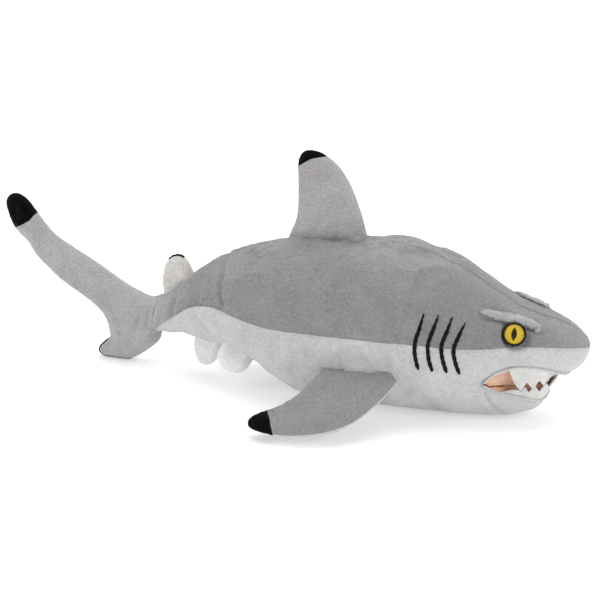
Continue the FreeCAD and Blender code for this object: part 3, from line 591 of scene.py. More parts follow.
# cloth under pressure, on a coarse copy held along its seams, gives the stuffing's own swell and puckers
def cloth_swell(name, V, F, pins, pressure=4.0, frames=18, cap=2.4, shrink=0.0, stiff=18.0):
    me = bpy.data.meshes.new(name)
    me.from_pydata((np.asarray(V) * MM).tolist(), [], [list(map(int, f)) for f in F])
    me.update()
    o = bpy.data.objects.new(name, me)
    bpy.context.scene.collection.objects.link(o)
    vg = o.vertex_groups.new(name="pin")
    for k in pins:
        vg.add([int(k)], 1.0, "REPLACE")
    cm = o.modifiers.new("cloth", "CLOTH")
    st = cm.settings
    st.quality = 6
    st.mass = 0.25
    st.tension_stiffness = stiff
    st.compression_stiffness = stiff
    st.shear_stiffness = 6
    st.bending_stiffness = 0.35
    st.tension_damping = 12
    st.use_pressure = True
    st.uniform_pressure_force = pressure
    st.shrink_min = shrink
    st.vertex_group_mass = "pin"
    st.effector_weights.gravity = 0
    cm.collision_settings.use_collision = False
    cm.point_cache.frame_start, cm.point_cache.frame_end = 1, frames
    sc = bpy.context.scene
    sc.frame_start, sc.frame_end = 1, frames
    for f in range(1, frames + 1):
        sc.frame_set(f)
    dg = bpy.context.evaluated_depsgraph_get()
    ev = o.evaluated_get(dg)
    m2 = ev.to_mesh()
    co = np.zeros(len(m2.vertices) * 3)
    m2.vertices.foreach_get("co", co)
    ev.to_mesh_clear()
    co = co.reshape(-1, 3) / MM
    D = co - np.asarray(V)
    ln = np.linalg.norm(D, axis=1, keepdims=True)
    D *= np.minimum(1, cap / np.maximum(ln, 1e-9))
    D[~np.isfinite(D)] = 0
    bpy.data.objects.remove(o)
    bpy.data.meshes.remove(me)
    sc.frame_set(1)
    return D


# ------------------------------------------------------------------ body covers
def body_cloth():
    """Swell of the body between its seams, on a coarse closed grid, brought back to the fine one."""
    si = np.unique(np.r_[np.arange(0, NX - 3, 4), NX - 3])
    keycols = np.unique(np.r_[np.arange(0, J_LS, 5), J_LS, np.arange(J_LS, J_RS, 5), J_RS, np.arange(J_RS, NV - 1, 5)])
    G = (Pw + Nw * (disp * 0.6)[:, None]).reshape(NX, NV, 3)[si][:, keycols]
    n, m = G.shape[:2]
    F = grid_faces(n, m, wrap=True).tolist()
    V = G.reshape(-1, 3)
    V = np.r_[V, [G[0].mean(0)], [G[-1].mean(0)]]
    for j in range(m):
        F.append([j, n * m, (j + 1) % m])
        F.append([(n - 1) * m + j, (n - 1) * m + (j + 1) % m, n * m + 1])
    col = keycols[None].repeat(n, 0)
    z = G[..., 2]
    x = G[..., 0]
    pin = (col == J_LS) | (col == J_RS) | ((col == 0)) | (z < 3.0) | (x > 168) | (x < -100)
    pins = np.r_[np.flatnonzero(pin.reshape(-1)), n * m, n * m + 1]
    D = cloth_swell("body_coarse", V, F, pins, pressure=5.0, frames=16, cap=3.2, shrink=-0.025, stiff=9.0)[:n * m].reshape(n, m, 3)
    # bilinear back to the fine grid
    fi = np.interp(np.arange(NX), si, np.arange(n))
    D = np.concatenate([D, D[:, :1]], 1)
    kc = np.r_[keycols, NV - 1]
    fj = np.interp(np.arange(NV), kc, np.arange(m + 1))
    i0 = np.clip(np.floor(fi).astype(int), 0, n - 2)
    j0 = np.clip(np.floor(fj).astype(int), 0, m - 1)
    a, b = (fi - i0)[:, None, None], (fj - j0)[None, :, None]
    a, b = a * a * (3 - 2 * a), b * b * (3 - 2 * b)
    D = (1 - a) * ((1 - b) * D[i0][:, j0] + b * D[i0][:, j0 + 1]) + a * ((1 - b) * D[i0 + 1][:, j0] + b * D[i0 + 1][:, j0 + 1])
    D = D.reshape(-1, 3)
    return D * (smooth(170, 128, Pw[:, 0]) * smooth(-98, -78, Pw[:, 0]))[:, None]


cloth = body_cloth()
tuft = pile_relief(Pw, 0.30) * smooth(0.2, 2.0, d_seam)
Pd = Pw + Nw * (disp + tuft)[:, None] + cloth
Pd[:, 2] = np.maximum(Pd[:, 2], 0.05 + 0.12 * (1 + vnoise(Pw, (4, 4, 4), 61)))
keep_y = np.sign(Pw[:, 1])
onmid = np.abs(Pw[:, 1]) < 1e-6
Pd[onmid, 1] = 0
G = Pd.reshape(NX, NV, 3)
G[:, -1] = G[:, 0] = (G[:, 0] + G[:, -1]) / 2


def strip_mesh(name, cols, mat, drop=None):
    sub = G[:, cols]
    n, m = sub.shape[:2]
    F = grid_faces(n, m)
    V = sub.reshape(-1, 3)
    if drop is not None:
        F = F[~drop[F].any(1)]
    return tidy(mesh(name, V, F, mat))


back_left = strip_mesh("back_cover_left", np.arange(0, J_LS + 1), GREY)
back_right = strip_mesh("back_cover_right", np.arange(J_RS, NV), GREY)

# belly with the mouth opened and its edge rolled in
bc = np.arange(J_LS, J_RS + 1)
W = whole[:, bc].reshape(-1, 3)
B = G[:, bc].reshape(-1, 3).copy()
NB_ = N[:, bc].reshape(-1, 3)
xz = W[:, [0, 2]]
near_m = (xz[:, 0] > 165)
ins = np.zeros(len(W), bool)
ins[near_m] = inside(xz[near_m], LIPS)
dist = np.full(len(W), 99.0)
npt = np.zeros((len(W), 2))
edge_line = np.r_[LIP_UP[::-1], LIP_LO[1:]]
dist[near_m], npt[near_m], _ = seg_dist(xz[near_m], edge_line)
nb, mb = NX, len(bc)
gi = ins.reshape(nb, mb)
out_near = np.zeros_like(gi)
for di in (-1, 0, 1):
    for dj in (-1, 0, 1):
        out_near |= ~np.roll(np.roll(gi, di, 0), dj, 1)
snap = (gi & out_near).reshape(-1)
deep = (gi & ~out_near).reshape(-1)
sx = npt[snap, 0]
sz = np.clip(npt[snap, 1], BOT(sx) + 0.05, TOP(sx))
sy = side_y(sx, sz) * np.sign(W[snap, 1] + 1e-9)
B[snap] = np.stack([sx, sy, sz], 1)
roll = smooth(4.2, 0.0, dist) * (~deep)
B -= NB_ * (roll * 1.5)[:, None]
Fb = grid_faces(nb, mb)
Fb = Fb[~deep[Fb].any(1)]
belly = tidy(mesh("belly_cover", B, Fb, WHITE))

# an inner turning of the lip, so that the opening's edge has thickness
# ---- lip lines in space
def lip3d(line, sub=0.6):
    L = resample(line, step=sub)
    x, z = L[:, 0], L[:, 1]
    ok = z > BOT(x) + 0.02
    k = int(np.argmin(ok)) if not ok.all() else len(x)
    x, z = x[:k], z[:k]
    y = side_y(x, z)
    P = np.stack([x, -y, z], 1)
    # last point on the middle line
    f = np.linspace(0, 1, 400)
    end = L[min(k, len(L) - 1)]
    P = np.r_[P, [[end[0], 0, BOT(end[0])]]]
    return P


UP3, LO3 = lip3d(LIP_UP), lip3d(LIP_LO)
NS = 90
U = resample(UP3, NS)
Lw = resample(LO3, NS)
U = np.r_[U, mirrored(U)[::-1][1:]]
Lw = np.r_[Lw, mirrored(Lw)[::-1][1:]]
s_ = np.r_[np.linspace(0, 1, NS), np.linspace(1, 0, NS)[1:]]
mid = (U + Lw) / 2
nrm = np.stack([(mid[:, 0] - 165) / 64.0 ** 2, mid[:, 1] / 39.0 ** 2, 0 * s_], 1)
nrm /= np.linalg.norm(nrm, axis=1, keepdims=True)
U_in = U - nrm * (1.6 + 15.0 * smooth(0.5, 0.85, s_))[:, None] + np.array([0, 0, 1.0]) * (1.8 * smooth(0.5, 0.8, s_))[:, None]
L_in = Lw - nrm * 1.6
depth = 11.0 * smooth(0.0, 0.35, s_)
M = np.stack([mid[:, 0], mid[:, 1], 33.4 - 0.28 * depth + (U[0, 2] - 33.4) * smooth(0.10, 0.0, s_)], 1) - nrm * depth[:, None]
rows = []
for t in np.linspace(0, 1, 16):
    arch = math.sin(t * pi) * 1.6
    rows.append(U_in * (1 - t) + M * t + np.array([0, 0, 1.0]) * arch * smooth(0, .3, s_)[:, None])
rows_up = np.array(rows)
rows = []
for t in np.linspace(0, 1, 16):
    arch = math.sin(t * pi) * 1.2
    rows.append(M * (1 - t) + L_in * t - np.array([0, 0, 1.0]) * arch * smooth(0, .3, s_)[:, None])
rows_lo = np.array(rows)
R = np.concatenate([rows_up, rows_lo[1:]], 0)
Pq = R.reshape(-1, 3)
wob = 0.35 * vnoise(Pq, 9, 71) + 0.18 * vnoise(Pq, 3.5, 72)
R = R + (wob.reshape(R.shape[:2]) * smooth(0, .1, s_)[None])[..., None] * np.array([0, 0, 1.0])
lining = tidy(mesh("mouth_lining_felt", R.reshape(-1, 3), grid_faces(*R.shape[:2]), FELT_TAN))
lining.data.materials.append(FELT_FOLD)
for p in lining.data.polygons:
    c = p.center / MM
    q = np.linalg.norm(M - np.array(c), axis=1).min()
    if q < 0.75:
        p.material_index = 1
sol = lining.modifiers.new("felt", "SOLIDIFY")
sol.thickness, sol.offset = 0.0011, 0.0

# rolled lip edges: the white cover turns in over the lining
def lip_roll(name, line, inward, mat, r=1.0, body="torso"):
    n = len(line)
    tang = np.gradient(line, axis=0)
    tang /= np.maximum(np.linalg.norm(tang, axis=1, keepdims=True), 1e-9)
    m = 10
    V = []
    for k in range(n):
        t = tang[k]
        a = inward[k] - t * (inward[k] @ t)
        a /= np.linalg.norm(a)
        b = np.cross(t, a)
        for q in range(m):
            w = 2 * pi * q / m
            V.append(line[k] + a * (math.cos(w) * r) + b * (math.sin(w) * r))
    V = np.array(V)
    V += (0.16 * vnoise(V, 2.2, 81) + 0.2 * vnoise(V, 6, 82))[:, None] * (V - np.repeat(line, m, 0)) / r
    F = grid_faces(n, m, wrap=True).tolist()
    F.append(list(range(m))[::-1])
    F.append([(n - 1) * m + q for q in range(m)])
    return tidy(mesh(name, V, F, mat, None))


lip_up = lip_roll("upper_lip_hem", U - nrm * 0.85 + np.array([0, 0, 0.1]), -nrm, WHITE, 1.05)
lip_lo = lip_roll("lower_lip_hem", Lw - nrm * 0.85 - np.array([0, 0, 0.1]), -nrm, WHITE, 1.05)
for o in (lip_up, lip_lo):
    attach(o, "torso")


# ---- felt teeth
def teeth(name, line3, inward, start_x, knots, up, inset, front_inset, tilt, thick=1.1, seed=1):
    """A strip of felt along a lip with a cut edge. knots: (distance along from its rear end, height above the floor), mirrored."""
    P = line3[:NS]
    k0 = int(np.argmin(np.abs(P[:, 0] - start_x)))
    P, I = P[k0:], inward[k0:NS]
    L = np.r_[0, np.cumsum(np.linalg.norm(np.diff(P, axis=0), axis=1))]
    B = P + I * (inset + front_inset * smooth(0.35, 0.9, L / L[-1]))[:, None]
    L = np.r_[0, np.cumsum(np.linalg.norm(np.diff(B, axis=0), axis=1))]
    total = L[-1]
    kn = np.array([k for k in knots if k[0] < total - 0.5] + [(total, knots[-1][1])])
    a = np.unique(np.r_[np.arange(0, total, 0.42), kn[:, 0], total])
    Q = np.stack([np.interp(a, L, B[:, c]) for c in range(3)], 1)
    In = np.stack([np.interp(a, L, I[:, c]) for c in range(3)], 1)
    zt = np.interp(a, kn[:, 0], kn[:, 1])
    hgt = np.maximum(0.5, (zt - Q[:, 2]) * (1 if up else -1))
    front = smooth(0.35, 0.9, a / total)
    rows = []
    for t in np.linspace(0, 1, 12):
        h = hgt * t
        rows.append(Q - In * ((tilt[0] + tilt[1] * front) * h)[:, None] + np.array([0, 0, 1.0]) * ((1 if up else -1) * h)[:, None])
    Rr = np.array(rows)
    Mr = mirrored(Rr)[:, ::-1][:, 1:]
    Rr = np.concatenate([Rr, Mr], 1)
    V = Rr.reshape(-1, 3)
    V = V + (0.35 * vnoise(V, 8, 90 + seed))[:, None] * np.array([0.3, 1.0, 0])
    o = tidy(mesh(name, V, grid_faces(*Rr.shape[:2]), FELT_WHITE))
    sol = o.modifiers.new("felt", "SOLIDIFY")
    sol.thickness, sol.offset = thick * MM, 0.0
    bv = o.modifiers.new("cut_edge", "BEVEL")
    bv.width, bv.segments, bv.limit_method, bv.angle_limit = 0.00022, 2, "ANGLE", math.radians(50)
    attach(o, "torso")
    return o


upper = teeth("upper_teeth_felt", U, -nrm, 193.2, [(0, 46.9), (0.7, 46.2), (1.6, 43.2), (3.9, 38.2), (6.4, 34.2), (9.9, 30.8), (13.4, 37.7), (18.4, 32.2), (23.0, 38.6), (28.6, 32.9), (32.4, 38.3), (36.4, 32.8),
                                                        (40.4, 37.4), (44.2, 32.4), (48.0, 36.2), (51.6, 32.0), (55.0, 35.8)], False, 0.6, 8.4, (0.02, -0.95), seed=1)
lower = teeth("lower_teeth_felt", Lw, -nrm, 186.5, [(0, 28.0), (2.2, 27.9), (6.0, 28.7), (10.1, 29.4), (15.1, 29.0), (17.0, 27.4), (20.2, 31.2), (23.0, 26.6), (28.0, 31.4), (33.2, 25.8), (38.0, 32.4), (42.6, 26.8),
                                                        (47.0, 32.6), (51.3, 27.6)], True, 1.7, 0.2, (0.03, 0.48), seed=2)

# ------------------------------------------------------------------ gill slits, satin stitched
def surf_point(x, z, side):
    """A point of the finished cover on the flank, and its outward direction."""
    y = float(side_y(x, z))
    P = np.array([[x, y * side, z]])
    e = 0.8
    yx = (float(side_y(x + e, z)) - float(side_y(x - e, z))) / (2 * e)
    yz = (float(side_y(x, z + e)) - float(side_y(x, z - e))) / (2 * e)
    n = np.array([-yx, side, -yz])
    n /= np.linalg.norm(n)
    return P[0], n


fine_tree = kdtree.KDTree(len(Pw))
for k, p in enumerate(Pw):
    fine_tree.insert(p, k)
fine_tree.balance()
shift = Pd - Pw


def on_cover(p):
    """Moves a point of the plain form onto the finished cover."""
    hits = fine_tree.find_n(p, 6)
    w = np.array([1 / (h[2] + 0.15) for h in hits])
    return np.asarray(p) + (shift[[h[1] for h in hits]] * w[:, None]).sum(0) / w.sum()


def satin(name, paths, side, width=3.1, height=1.1, body="torso", pitch=0.62, taper=0.24):
    V, F = [], []
    for pi_, path in enumerate(paths):
        line = resample(spline(path, 10), step=pitch / 2)
        n = len(line)
        m = 9
        base = len(V)
        for k, (x, z) in enumerate(line):
            t = k / (n - 1)
            p, nn = surf_point(x, z, side)
            p = on_cover(p)
            a = line[min(k + 1, n - 1)] - line[max(k - 1, 0)]
            tang = np.array([a[0], 0, a[1]])
            tang -= nn * (tang @ nn)
            tang /= np.linalg.norm(tang)
            sd = np.cross(tang, nn)
            wv = width / 2 * (0.30 + 0.70 * min(1, t / taper)) * (1.0 - 0.35 * max(0, (t - 0.93) / 0.07))
            jag = 0.16 * math.sin(k * 12.9898 + pi_ * 3.1) + 0.10 * math.sin(k * 4.13 + pi_)
            ridge = 0.10 * (1 if k % 2 else -1)
            lead = 0.9 * (1 if k % 2 else 0) * 0.12
            for q in range(m):
                w = pi * q / (m - 1)
                cx, hz = math.cos(w), math.sin(w)
                V.append(p + sd * ((wv + jag) * cx) + nn * (-0.25 + (height + ridge) * hz ** 0.8) + tang * (lead * cx))
        F += grid_faces(n, m, base=base).tolist()
        F.append([base + q for q in range(m)])
        F.append([base + (n - 1) * m + q for q in range(m)][::-1])
        for k in range(n - 1):
            F.append([base + k * m, base + (k + 1) * m, base + (k + 1) * m + m - 1, base + k * m + m - 1])
    o = tidy(mesh(name, V, F, THREAD))
    if body:
        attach(o, body)
    return o


GILLS = [[(131.6, 86.5), (129.3, 76), (127.2, 66), (127.6, 57), (130.2, 46.5)], [(141.8, 86), (139.4, 76), (136.6, 66), (137.0, 57), (140.2, 45.8)],
         [(151.6, 85), (149.6, 76), (146.4, 65), (147.2, 56), (150.4, 44.6)], [(161.2, 81.6), (158.4, 74), (155.2, 63.5), (155.8, 55), (159.4, 43.4)]]
for side, nm in ((-1, "right"), (1, "left")):
    satin("gill_stitching_%s_satin" % nm, GILLS, side)

# ------------------------------------------------------------------ eyes
def lathe(name, prof, mat, place, seg=72, body="torso"):
    V, F = [], []
    n = len(prof)
    for k in range(seg):
        w = 2 * pi * k / seg
        for r, z in prof:
            V.append((r * math.cos(w), r * math.sin(w), z))
    V = np.array(V)
    V = (place[0][None] + V[:, :1] * place[1] + V[:, 1:2] * place[2] + V[:, 2:] * place[3])
    for k in range(seg):
        for q in range(n - 1):
            a, b = k * n + q, ((k + 1) % seg) * n + q
            F.append([a, b, b + 1, a + 1])
    o = tidy(mesh(name, V, F, mat))
    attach(o, body)
    return o


def iris_material(name, place):
    m, nt, bs = nodes_of(name)
    tc = nt.nodes.new("ShaderNodeTexCoord").outputs["Object"]
    o, ex, ey, ez = place

    def dot(v):
        n = nt.nodes.new("ShaderNodeVectorMath")
        n.operation = "SUBTRACT"
        nt.links.new(tc, n.inputs[0])
        n.inputs[1].default_value = [c * MM for c in o]
        d = nt.nodes.new("ShaderNodeVectorMath")
        d.operation = "DOT_PRODUCT"
        nt.links.new(n.outputs[0], d.inputs[0])
        d.inputs[1].default_value = list(v)
        return math_node(nt, "DIVIDE", d.outputs["Value"], 0.001)
    px, py = dot(ex), dot(ey)
    r = math_node(nt, "SQRT", math_node(nt, "ADD", math_node(nt, "MULTIPLY", px, px), math_node(nt, "MULTIPLY", py, py)))
    ang = math_node(nt, "ARCTAN2", py, px)
    # fibres of the iris
    cmb = nt.nodes.new("ShaderNodeCombineXYZ")
    nt.links.new(math_node(nt, "MULTIPLY", ang, 3.4), cmb.inputs[0])
    nt.links.new(math_node(nt, "MULTIPLY", r, 0.16), cmb.inputs[1])
    nz = nt.nodes.new("ShaderNodeTexNoise")
    nz.inputs["Scale"].default_value = 2.6
    nz.inputs["Detail"].default_value = 4
    nt.links.new(cmb.outputs[0], nz.inputs["Vector"])
    ramp = nt.nodes.new("ShaderNodeValToRGB")
    el = ramp.color_ramp.elements
    el[0].position, el[0].color = 0.30, srgb(196, 150, 8)
    el[1].position, el[1].color = 0.68, srgb(255, 226, 40)
    el.new(0.48).color = srgb(244, 204, 18)
    nt.links.new(nz.outputs["Fac"], ramp.inputs[0])
    # darker towards the rim
    rim = nt.nodes.new("ShaderNodeMapRange")
    rim.inputs["From Min"].default_value, rim.inputs["From Max"].default_value = 6.7, 7.4
    rim.inputs["To Min"].default_value, rim.inputs["To Max"].default_value = 0.0, 0.5
    nt.links.new(r, rim.inputs["Value"])
    mx = nt.nodes.new("ShaderNodeMix")
    mx.data_type = "RGBA"
    nt.links.new(rim.outputs[0], mx.inputs[0])
    el[0].color, el[-1].color = srgb(242, 199, 10), srgb(251, 214, 24)
    nt.links.new(ramp.outputs[0], mx.inputs[6])
    mx.inputs[7].default_value = srgb(150, 110, 8)
    # slit pupil: a pointed upright lens
    ay = math_node(nt, "ABSOLUTE", math_node(nt, "DIVIDE", py, 5.0))
    half = math_node(nt, "MULTIPLY", math_node(nt, "SUBTRACT", 1.0, math_node(nt, "MULTIPLY", ay, ay)), 2.0)
    slit = math_node(nt, "SUBTRACT", half, math_node(nt, "ABSOLUTE", math_node(nt, "ADD", px, 0.2)))
    sl = math_node(nt, "MULTIPLY", slit, 6.0, clamp=True)
    mx2 = nt.nodes.new("ShaderNodeMix")
    mx2.data_type = "RGBA"
    nt.links.new(sl, mx2.inputs[0])
    nt.links.new(mx.outputs[2], mx2.inputs[6])
    mx2.inputs[7].default_value = srgb(5, 5, 4)
    nt.links.new(mx2.outputs[2], bs.inputs["Base Color"])
    bs.inputs["Roughness"].default_value = 0.3
    return m


CLEAR, cnt, cbs = nodes_of("eye_clear_dome")
_co = cnt.nodes.new("ShaderNodeTexCoord").outputs["Object"]
_n = noise_node(cnt, _co, 200, 2, 0.5)
_b = cnt.nodes.new("ShaderNodeBump")
_b.inputs["Strength"].default_value, _b.inputs["Distance"].default_value = 0.02, 0.0001
cnt.links.new(_n.outputs["Fac"], _b.inputs["Height"])
cnt.links.new(_b.outputs[0], cbs.inputs["Normal"])
cbs.inputs["Base Color"].default_value = (1, 1, 1, 1)
cbs.inputs["Roughness"].default_value = 0.02
cbs.inputs["IOR"].default_value = 1.24
cbs.inputs["Transmission Weight"].default_value = 1.0

# ---- brow rolls: a pinched tuck of pile over each eye, its edge rolled down towards the eye
B_P = np.array([(169.0, -35.6, 88.4), (172, -34.4, 87.3), (177.5, -31.9, 85.6), (185, -28.6, 83.5), (192, -26.2, 82.0), (199, -24.2, 80.4), (204.2, -23.2, 79.0), (207.8, -23.0, 77.4), (209.4, -24.6, 75.4), (208.0, -26.6, 73.8)])
B_N = np.array([(.49, -.52, .70), (.482, -.515, .709), (.441, -.469, .765), (.375, -.409, .832), (.30, -.375, .88), (.31, -.36, .88), (.328, -.37, .87), (.34, -.45, .82), (.34, -.55, .76), (.33, -.6, .72)])
B_R = np.array([0.5, 1.3, 2.2, 2.8, 3.1, 3.0, 2.8, 2.4, 1.9, 0.8])
brow = {}
for side, nm in ((-1, "right"), (1, "left")):
    k = np.linspace(0 if side < 0 else 2.3, len(B_P) - 1 if side < 0 else 7.2, 110)
    i_ = np.arange(len(B_P))
    Pc = np.stack([pchip(i_, B_P[:, c])(k) for c in range(3)], 1)
    Nc = np.stack([np.interp(k, i_, B_N[:, c]) for c in range(3)], 1)
    Nc /= np.linalg.norm(Nc, axis=1, keepdims=True)
    Rc = pchip(i_, B_R)(k) * np.clip(np.minimum(k - k[0], k[-1] - k) * 1.6 + 0.25, 0.25, 1)
    Tc = np.gradient(Pc, axis=0)
    Tc /= np.linalg.norm(Tc, axis=1, keepdims=True)
    Sc = np.cross(Tc, Nc)                    # across the roll
    Sc *= np.where(Sc[:, 2:3] > 0, -1, 1)      # downhill, towards the eye
    Pc = Pc + Nc * 0.45 + Sc * 0.7
    V = []
    for q in range(26):
        w = 2 * pi * q / 26
        cn, cs = math.cos(w), math.sin(w)
        V.append(Pc + Nc * (cn * Rc * (0.92 * (0.6 + 0.4 * float(smooth(-1.0, 0.4, cs))) if cn > 0 else 0.8))[:, None] + Sc * (cs * Rc * (1.25 if cs > 0 else 1.9))[:, None])
    V = np.array(V).transpose(1, 0, 2)
    ctr = Pc[:, None, :]
    out = (V - ctr) / np.maximum(1e-6, np.linalg.norm(V - ctr, axis=2, keepdims=True))
    Pf = V.reshape(-1, 3)
    lump = 0.7 * vnoise(Pf, 4.5, 241) + 0.55 * vnoise(Pf, 2.2, 242) + 0.34 * vnoise(Pf, 1.1, 243)
    V = V + out * (lump.reshape(V.shape[:2]) * np.minimum(1, Rc / 2)[:, None])[..., None]
    V = V.reshape(-1, 3)
    if side > 0:
        V[:, 1] *= -1
    n = len(Pc)
    F = grid_faces(n, 26, wrap=True).tolist() + [list(range(26))[::-1], [(n - 1) * 26 + q for q in range(26)]]
    o = tidy(mesh("brow_roll_" + nm, V, F, GREY_PAINTED_LIT), flip=False)
    brow[nm] = o

for side, nm in ((-1, "right"), (1, "left")):
    o = np.array([EYE.x, EYE.y * -side, EYE.z])
    ez = np.array([EYE_DIR.x, EYE_DIR.y * -side, EYE_DIR.z])
    upv = np.array([0.05, 0, 1.0])
    ey = upv - ez * (upv @ ez)
    ey /= np.linalg.norm(ey)
    ex = np.cross(ey, ez)
    o = o + ez * 0.6 + np.array([-1.2, 0, 1.0])
    place = (o, ex, ey, ez)
    c, s = math.cos, math.sin
    # moulded black backing with a rounded rim
    rim = [(0.0, 0.8), (7.2, 0.8), (7.4, 1.1)] + [(7.98 + 0.84 * c(w), 1.25 + 0.95 * s(w)) for w in np.linspace(pi * 0.98, -0.1 * pi, 15)] + [(8.7, -1.2), (8.2, -2.2), (2.1, -2.4), (2.1, -8.5), (0.0, -8.7)]
    lathe("eye_backing_%s_rim" % nm, rim, EYE_BLACK, place)
    iris = [(0.0, 1.22), (3.0, 1.2), (5.5, 1.15), (7.3, 1.05)]
    lathe("eye_iris_%s" % nm, iris, iris_material("eye_iris_" + nm, place), place)
    R_ = (7.3 ** 2 + 3.2 ** 2) / 6.4
    dome = [(R_ * s(a), 1.3 + 3.2 - R_ + R_ * c(a)) for a in np.linspace(0, math.asin(7.3 / R_), 24)] + [(7.2, 1.27), (4, 1.32), (0, 1.35)]
    dome[0] = (0.0, dome[0][1])
    lathe("eye_lens_%s_dome" % nm, dome, CLEAR, place)

# ------------------------------------------------------------------ fins: sewn pillows
class Pillow:
    """A stuffed fin drawn as an outline in its own plane (a, b), with a thickness on each side that rounds down to the seam."""

    def __init__(self, name, outline, sewn, to3d, thick, radius, step=1.35, cuts=(), seed=1, lump=0.5, swell=None, coarse=4.5, tuft=0.26, pinch=0.35):
        self.name, self.to3d = name, to3d
        line = resample(np.r_[outline, outline[:1]], step=step)[:-1]
        n = len(line)
        pts = [tuple(p) for p in line]
        edges = [(i, (i + 1) % n) for i in range(n)]
        # cut lines, such as the edge of a sewn tip, are kept as edges
        for c in cuts:
            c = resample(np.asarray(c, float), step=step)
            c = c[inside(c, line)]
            if len(c) < 2:
                continue
            ends = []
            for e in (c[0], c[-1]):
                ends.append(int(np.argmin(np.hypot(*(line - e).T))))
            k0 = len(pts)
            c = c[[min(np.hypot(*(line - q).T)) > step * 0.45 for q in c]]
            pts += [tuple(p) for p in c]
            ids = [ends[0]] + list(range(k0, k0 + len(c))) + [ends[1]]
            edges += list(zip(ids[:-1], ids[1:]))
        fixed = np.array(pts)
        # rings close to the edge, then a staggered grid
        t = np.roll(line, -1, 0) - np.roll(line, 1, 0)
        t /= np.maximum(np.linalg.norm(t, axis=1, keepdims=True), 1e-9)
        area = 0.5 * np.sum(line[:, 0] * np.roll(line[:, 1], -1) - np.roll(line[:, 0], -1) * line[:, 1])
        nin = np.stack([-t[:, 1], t[:, 0]], 1) * (1 if area > 0 else -1)
        extra = []
        for off in (0.35, 0.95, 1.9):
            q = line + nin * off
            dd, _, _ = seg_dist(q, line, True)
            q = q[(dd > off * 0.9) & inside(q, line)]
            extra.append(q)
        lo, hi = line.min(0), line.max(0)
        ys_ = np.arange(lo[1], hi[1], step * 0.87)
        gr = np.array([(x + (step / 2 if k % 2 else 0), y) for k, y in enumerate(ys_) for x in np.arange(lo[0], hi[0], step)])
        gr = gr[inside(gr, line)]
        dd, _, _ = seg_dist(gr, line, True)
        gr = gr[dd > 1.9 + step * 0.6]
        extra.append(gr)
        ex = np.concatenate(extra)
        if len(fixed) > n:
            dmin = np.array([np.min(np.hypot(*(fixed[n:] - q).T)) for q in ex])
            ex = ex[dmin > step * 0.5]
        allp = np.r_[fixed, ex]
        vo, _, fo, _, _, _ = delaunay_2d_cdt([Vector(p) for p in allp], edges, [], 1, 1e-5)
        self.P2 = np.array([tuple(v) for v in vo])
        F = np.array([f for f in fo if len(f) == 3])
        cen = self.P2[F].mean(1)
        self.F = F[inside(cen, line)]
        self.cen = self.P2[self.F].mean(1)
        self.line = line
        self.d_sewn, _, self.along = seg_dist(self.P2, sewn)
        d_edge, _, _ = seg_dist(self.P2, line, True)
        self.on_edge = d_edge < 1e-4
        T, R = thick(self.P2), radius(self.P2)
        q = np.clip(self.d_sewn / R, 0, 1)
        self.h = T * np.sqrt(np.maximum(1 - (1 - q) ** 2, 0))
        self.T = T
        self.seed, self.lump, self.tuft, self.pinch = seed, lump, tuft, pinch
        self.delta = {1: 0, -1: 0}
        if swell:
            self.cloth(swell, coarse)

    def cloth(self, cap, coarse):
        keep = np.zeros(len(self.P2), bool)
        line = resample(np.r_[self.line, self.line[:1]], step=coarse)[:-1]
        n = len(line)
        lo, hi = line.min(0), line.max(0)
        gr = np.array([(x + (coarse / 2 if k % 2 else 0), y) for k, y in enumerate(np.arange(lo[1], hi[1], coarse * 0.87)) for x in np.arange(lo[0], hi[0], coarse)])
        gr = gr[inside(gr, line)]
        dd, _, _ = seg_dist(gr, line, True)
        gr = gr[dd > coarse * 0.55]
        allp = np.r_[line, gr]
        vo, _, fo, _, _, _ = delaunay_2d_cdt([Vector(p) for p in allp], [(i, (i + 1) % n) for i in range(n)], [], 1, 1e-5)
        P2 = np.array([tuple(v) for v in vo])
        F = np.array([f for f in fo if len(f) == 3])
        F = F[inside(P2[F].mean(1), line)]
        h = np.zeros(len(P2))
        tree = kdtree.KDTree(len(self.P2))
        for k, p in enumerate(self.P2):
            tree.insert((p[0], p[1], 0), k)
        tree.balance()
        for k, p in enumerate(P2):
            hit = tree.find((p[0], p[1], 0))
            h[k] = self.h[hit[1]]
        edge = seg_dist(P2, line, True)[0] < 1e-4
        h[edge] = 0
        top = np.arange(len(P2))
        bot = np.where(edge, top, len(P2) + np.arange(len(P2)))
        V = np.r_[self.to3d(P2, h * 0.93), self.to3d(P2, -h * 0.93)]
        used = np.unique(np.r_[F.ravel(), bot[F].ravel()])
        remap = -np.ones(len(V), int)
        remap[used] = np.arange(len(used))
        FF = np.r_[remap[F], remap[bot[F]][:, ::-1]]
        Vu = V[used]
        pins = remap[np.flatnonzero(edge & (remap[:len(P2)] >= 0))]
        D = cloth_swell(self.name + "_coarse", Vu, FF, pins, pressure=5.0, frames=16, cap=cap, shrink=-0.03, stiff=8.0)
        for sgn, idx in ((1, top), (-1, bot)):
            ids = [k for k in range(len(P2)) if remap[idx[k]] >= 0]
            kd = kdtree.KDTree(len(ids))
            for k in ids:
                kd.insert((P2[k][0], P2[k][1], 0), k)
            kd.balance()
            out = np.zeros((len(self.P2), 3))
            for k, p in enumerate(self.P2):
                hits = kd.find_n((p[0], p[1], 0), 4)
                w = np.array([1 / (q[2] ** 2 + 0.6) for q in hits])
                out[k] = (D[[remap[idx[q[1]]] for q in hits]] * w[:, None]).sum(0) / w.sum()
            self.delta[sgn] = out * smooth(0.0, 3.0, self.d_sewn)[:, None] + 0.07 * 0

    def points(self, sgn):
        V0 = self.to3d(self.P2, sgn * self.h)
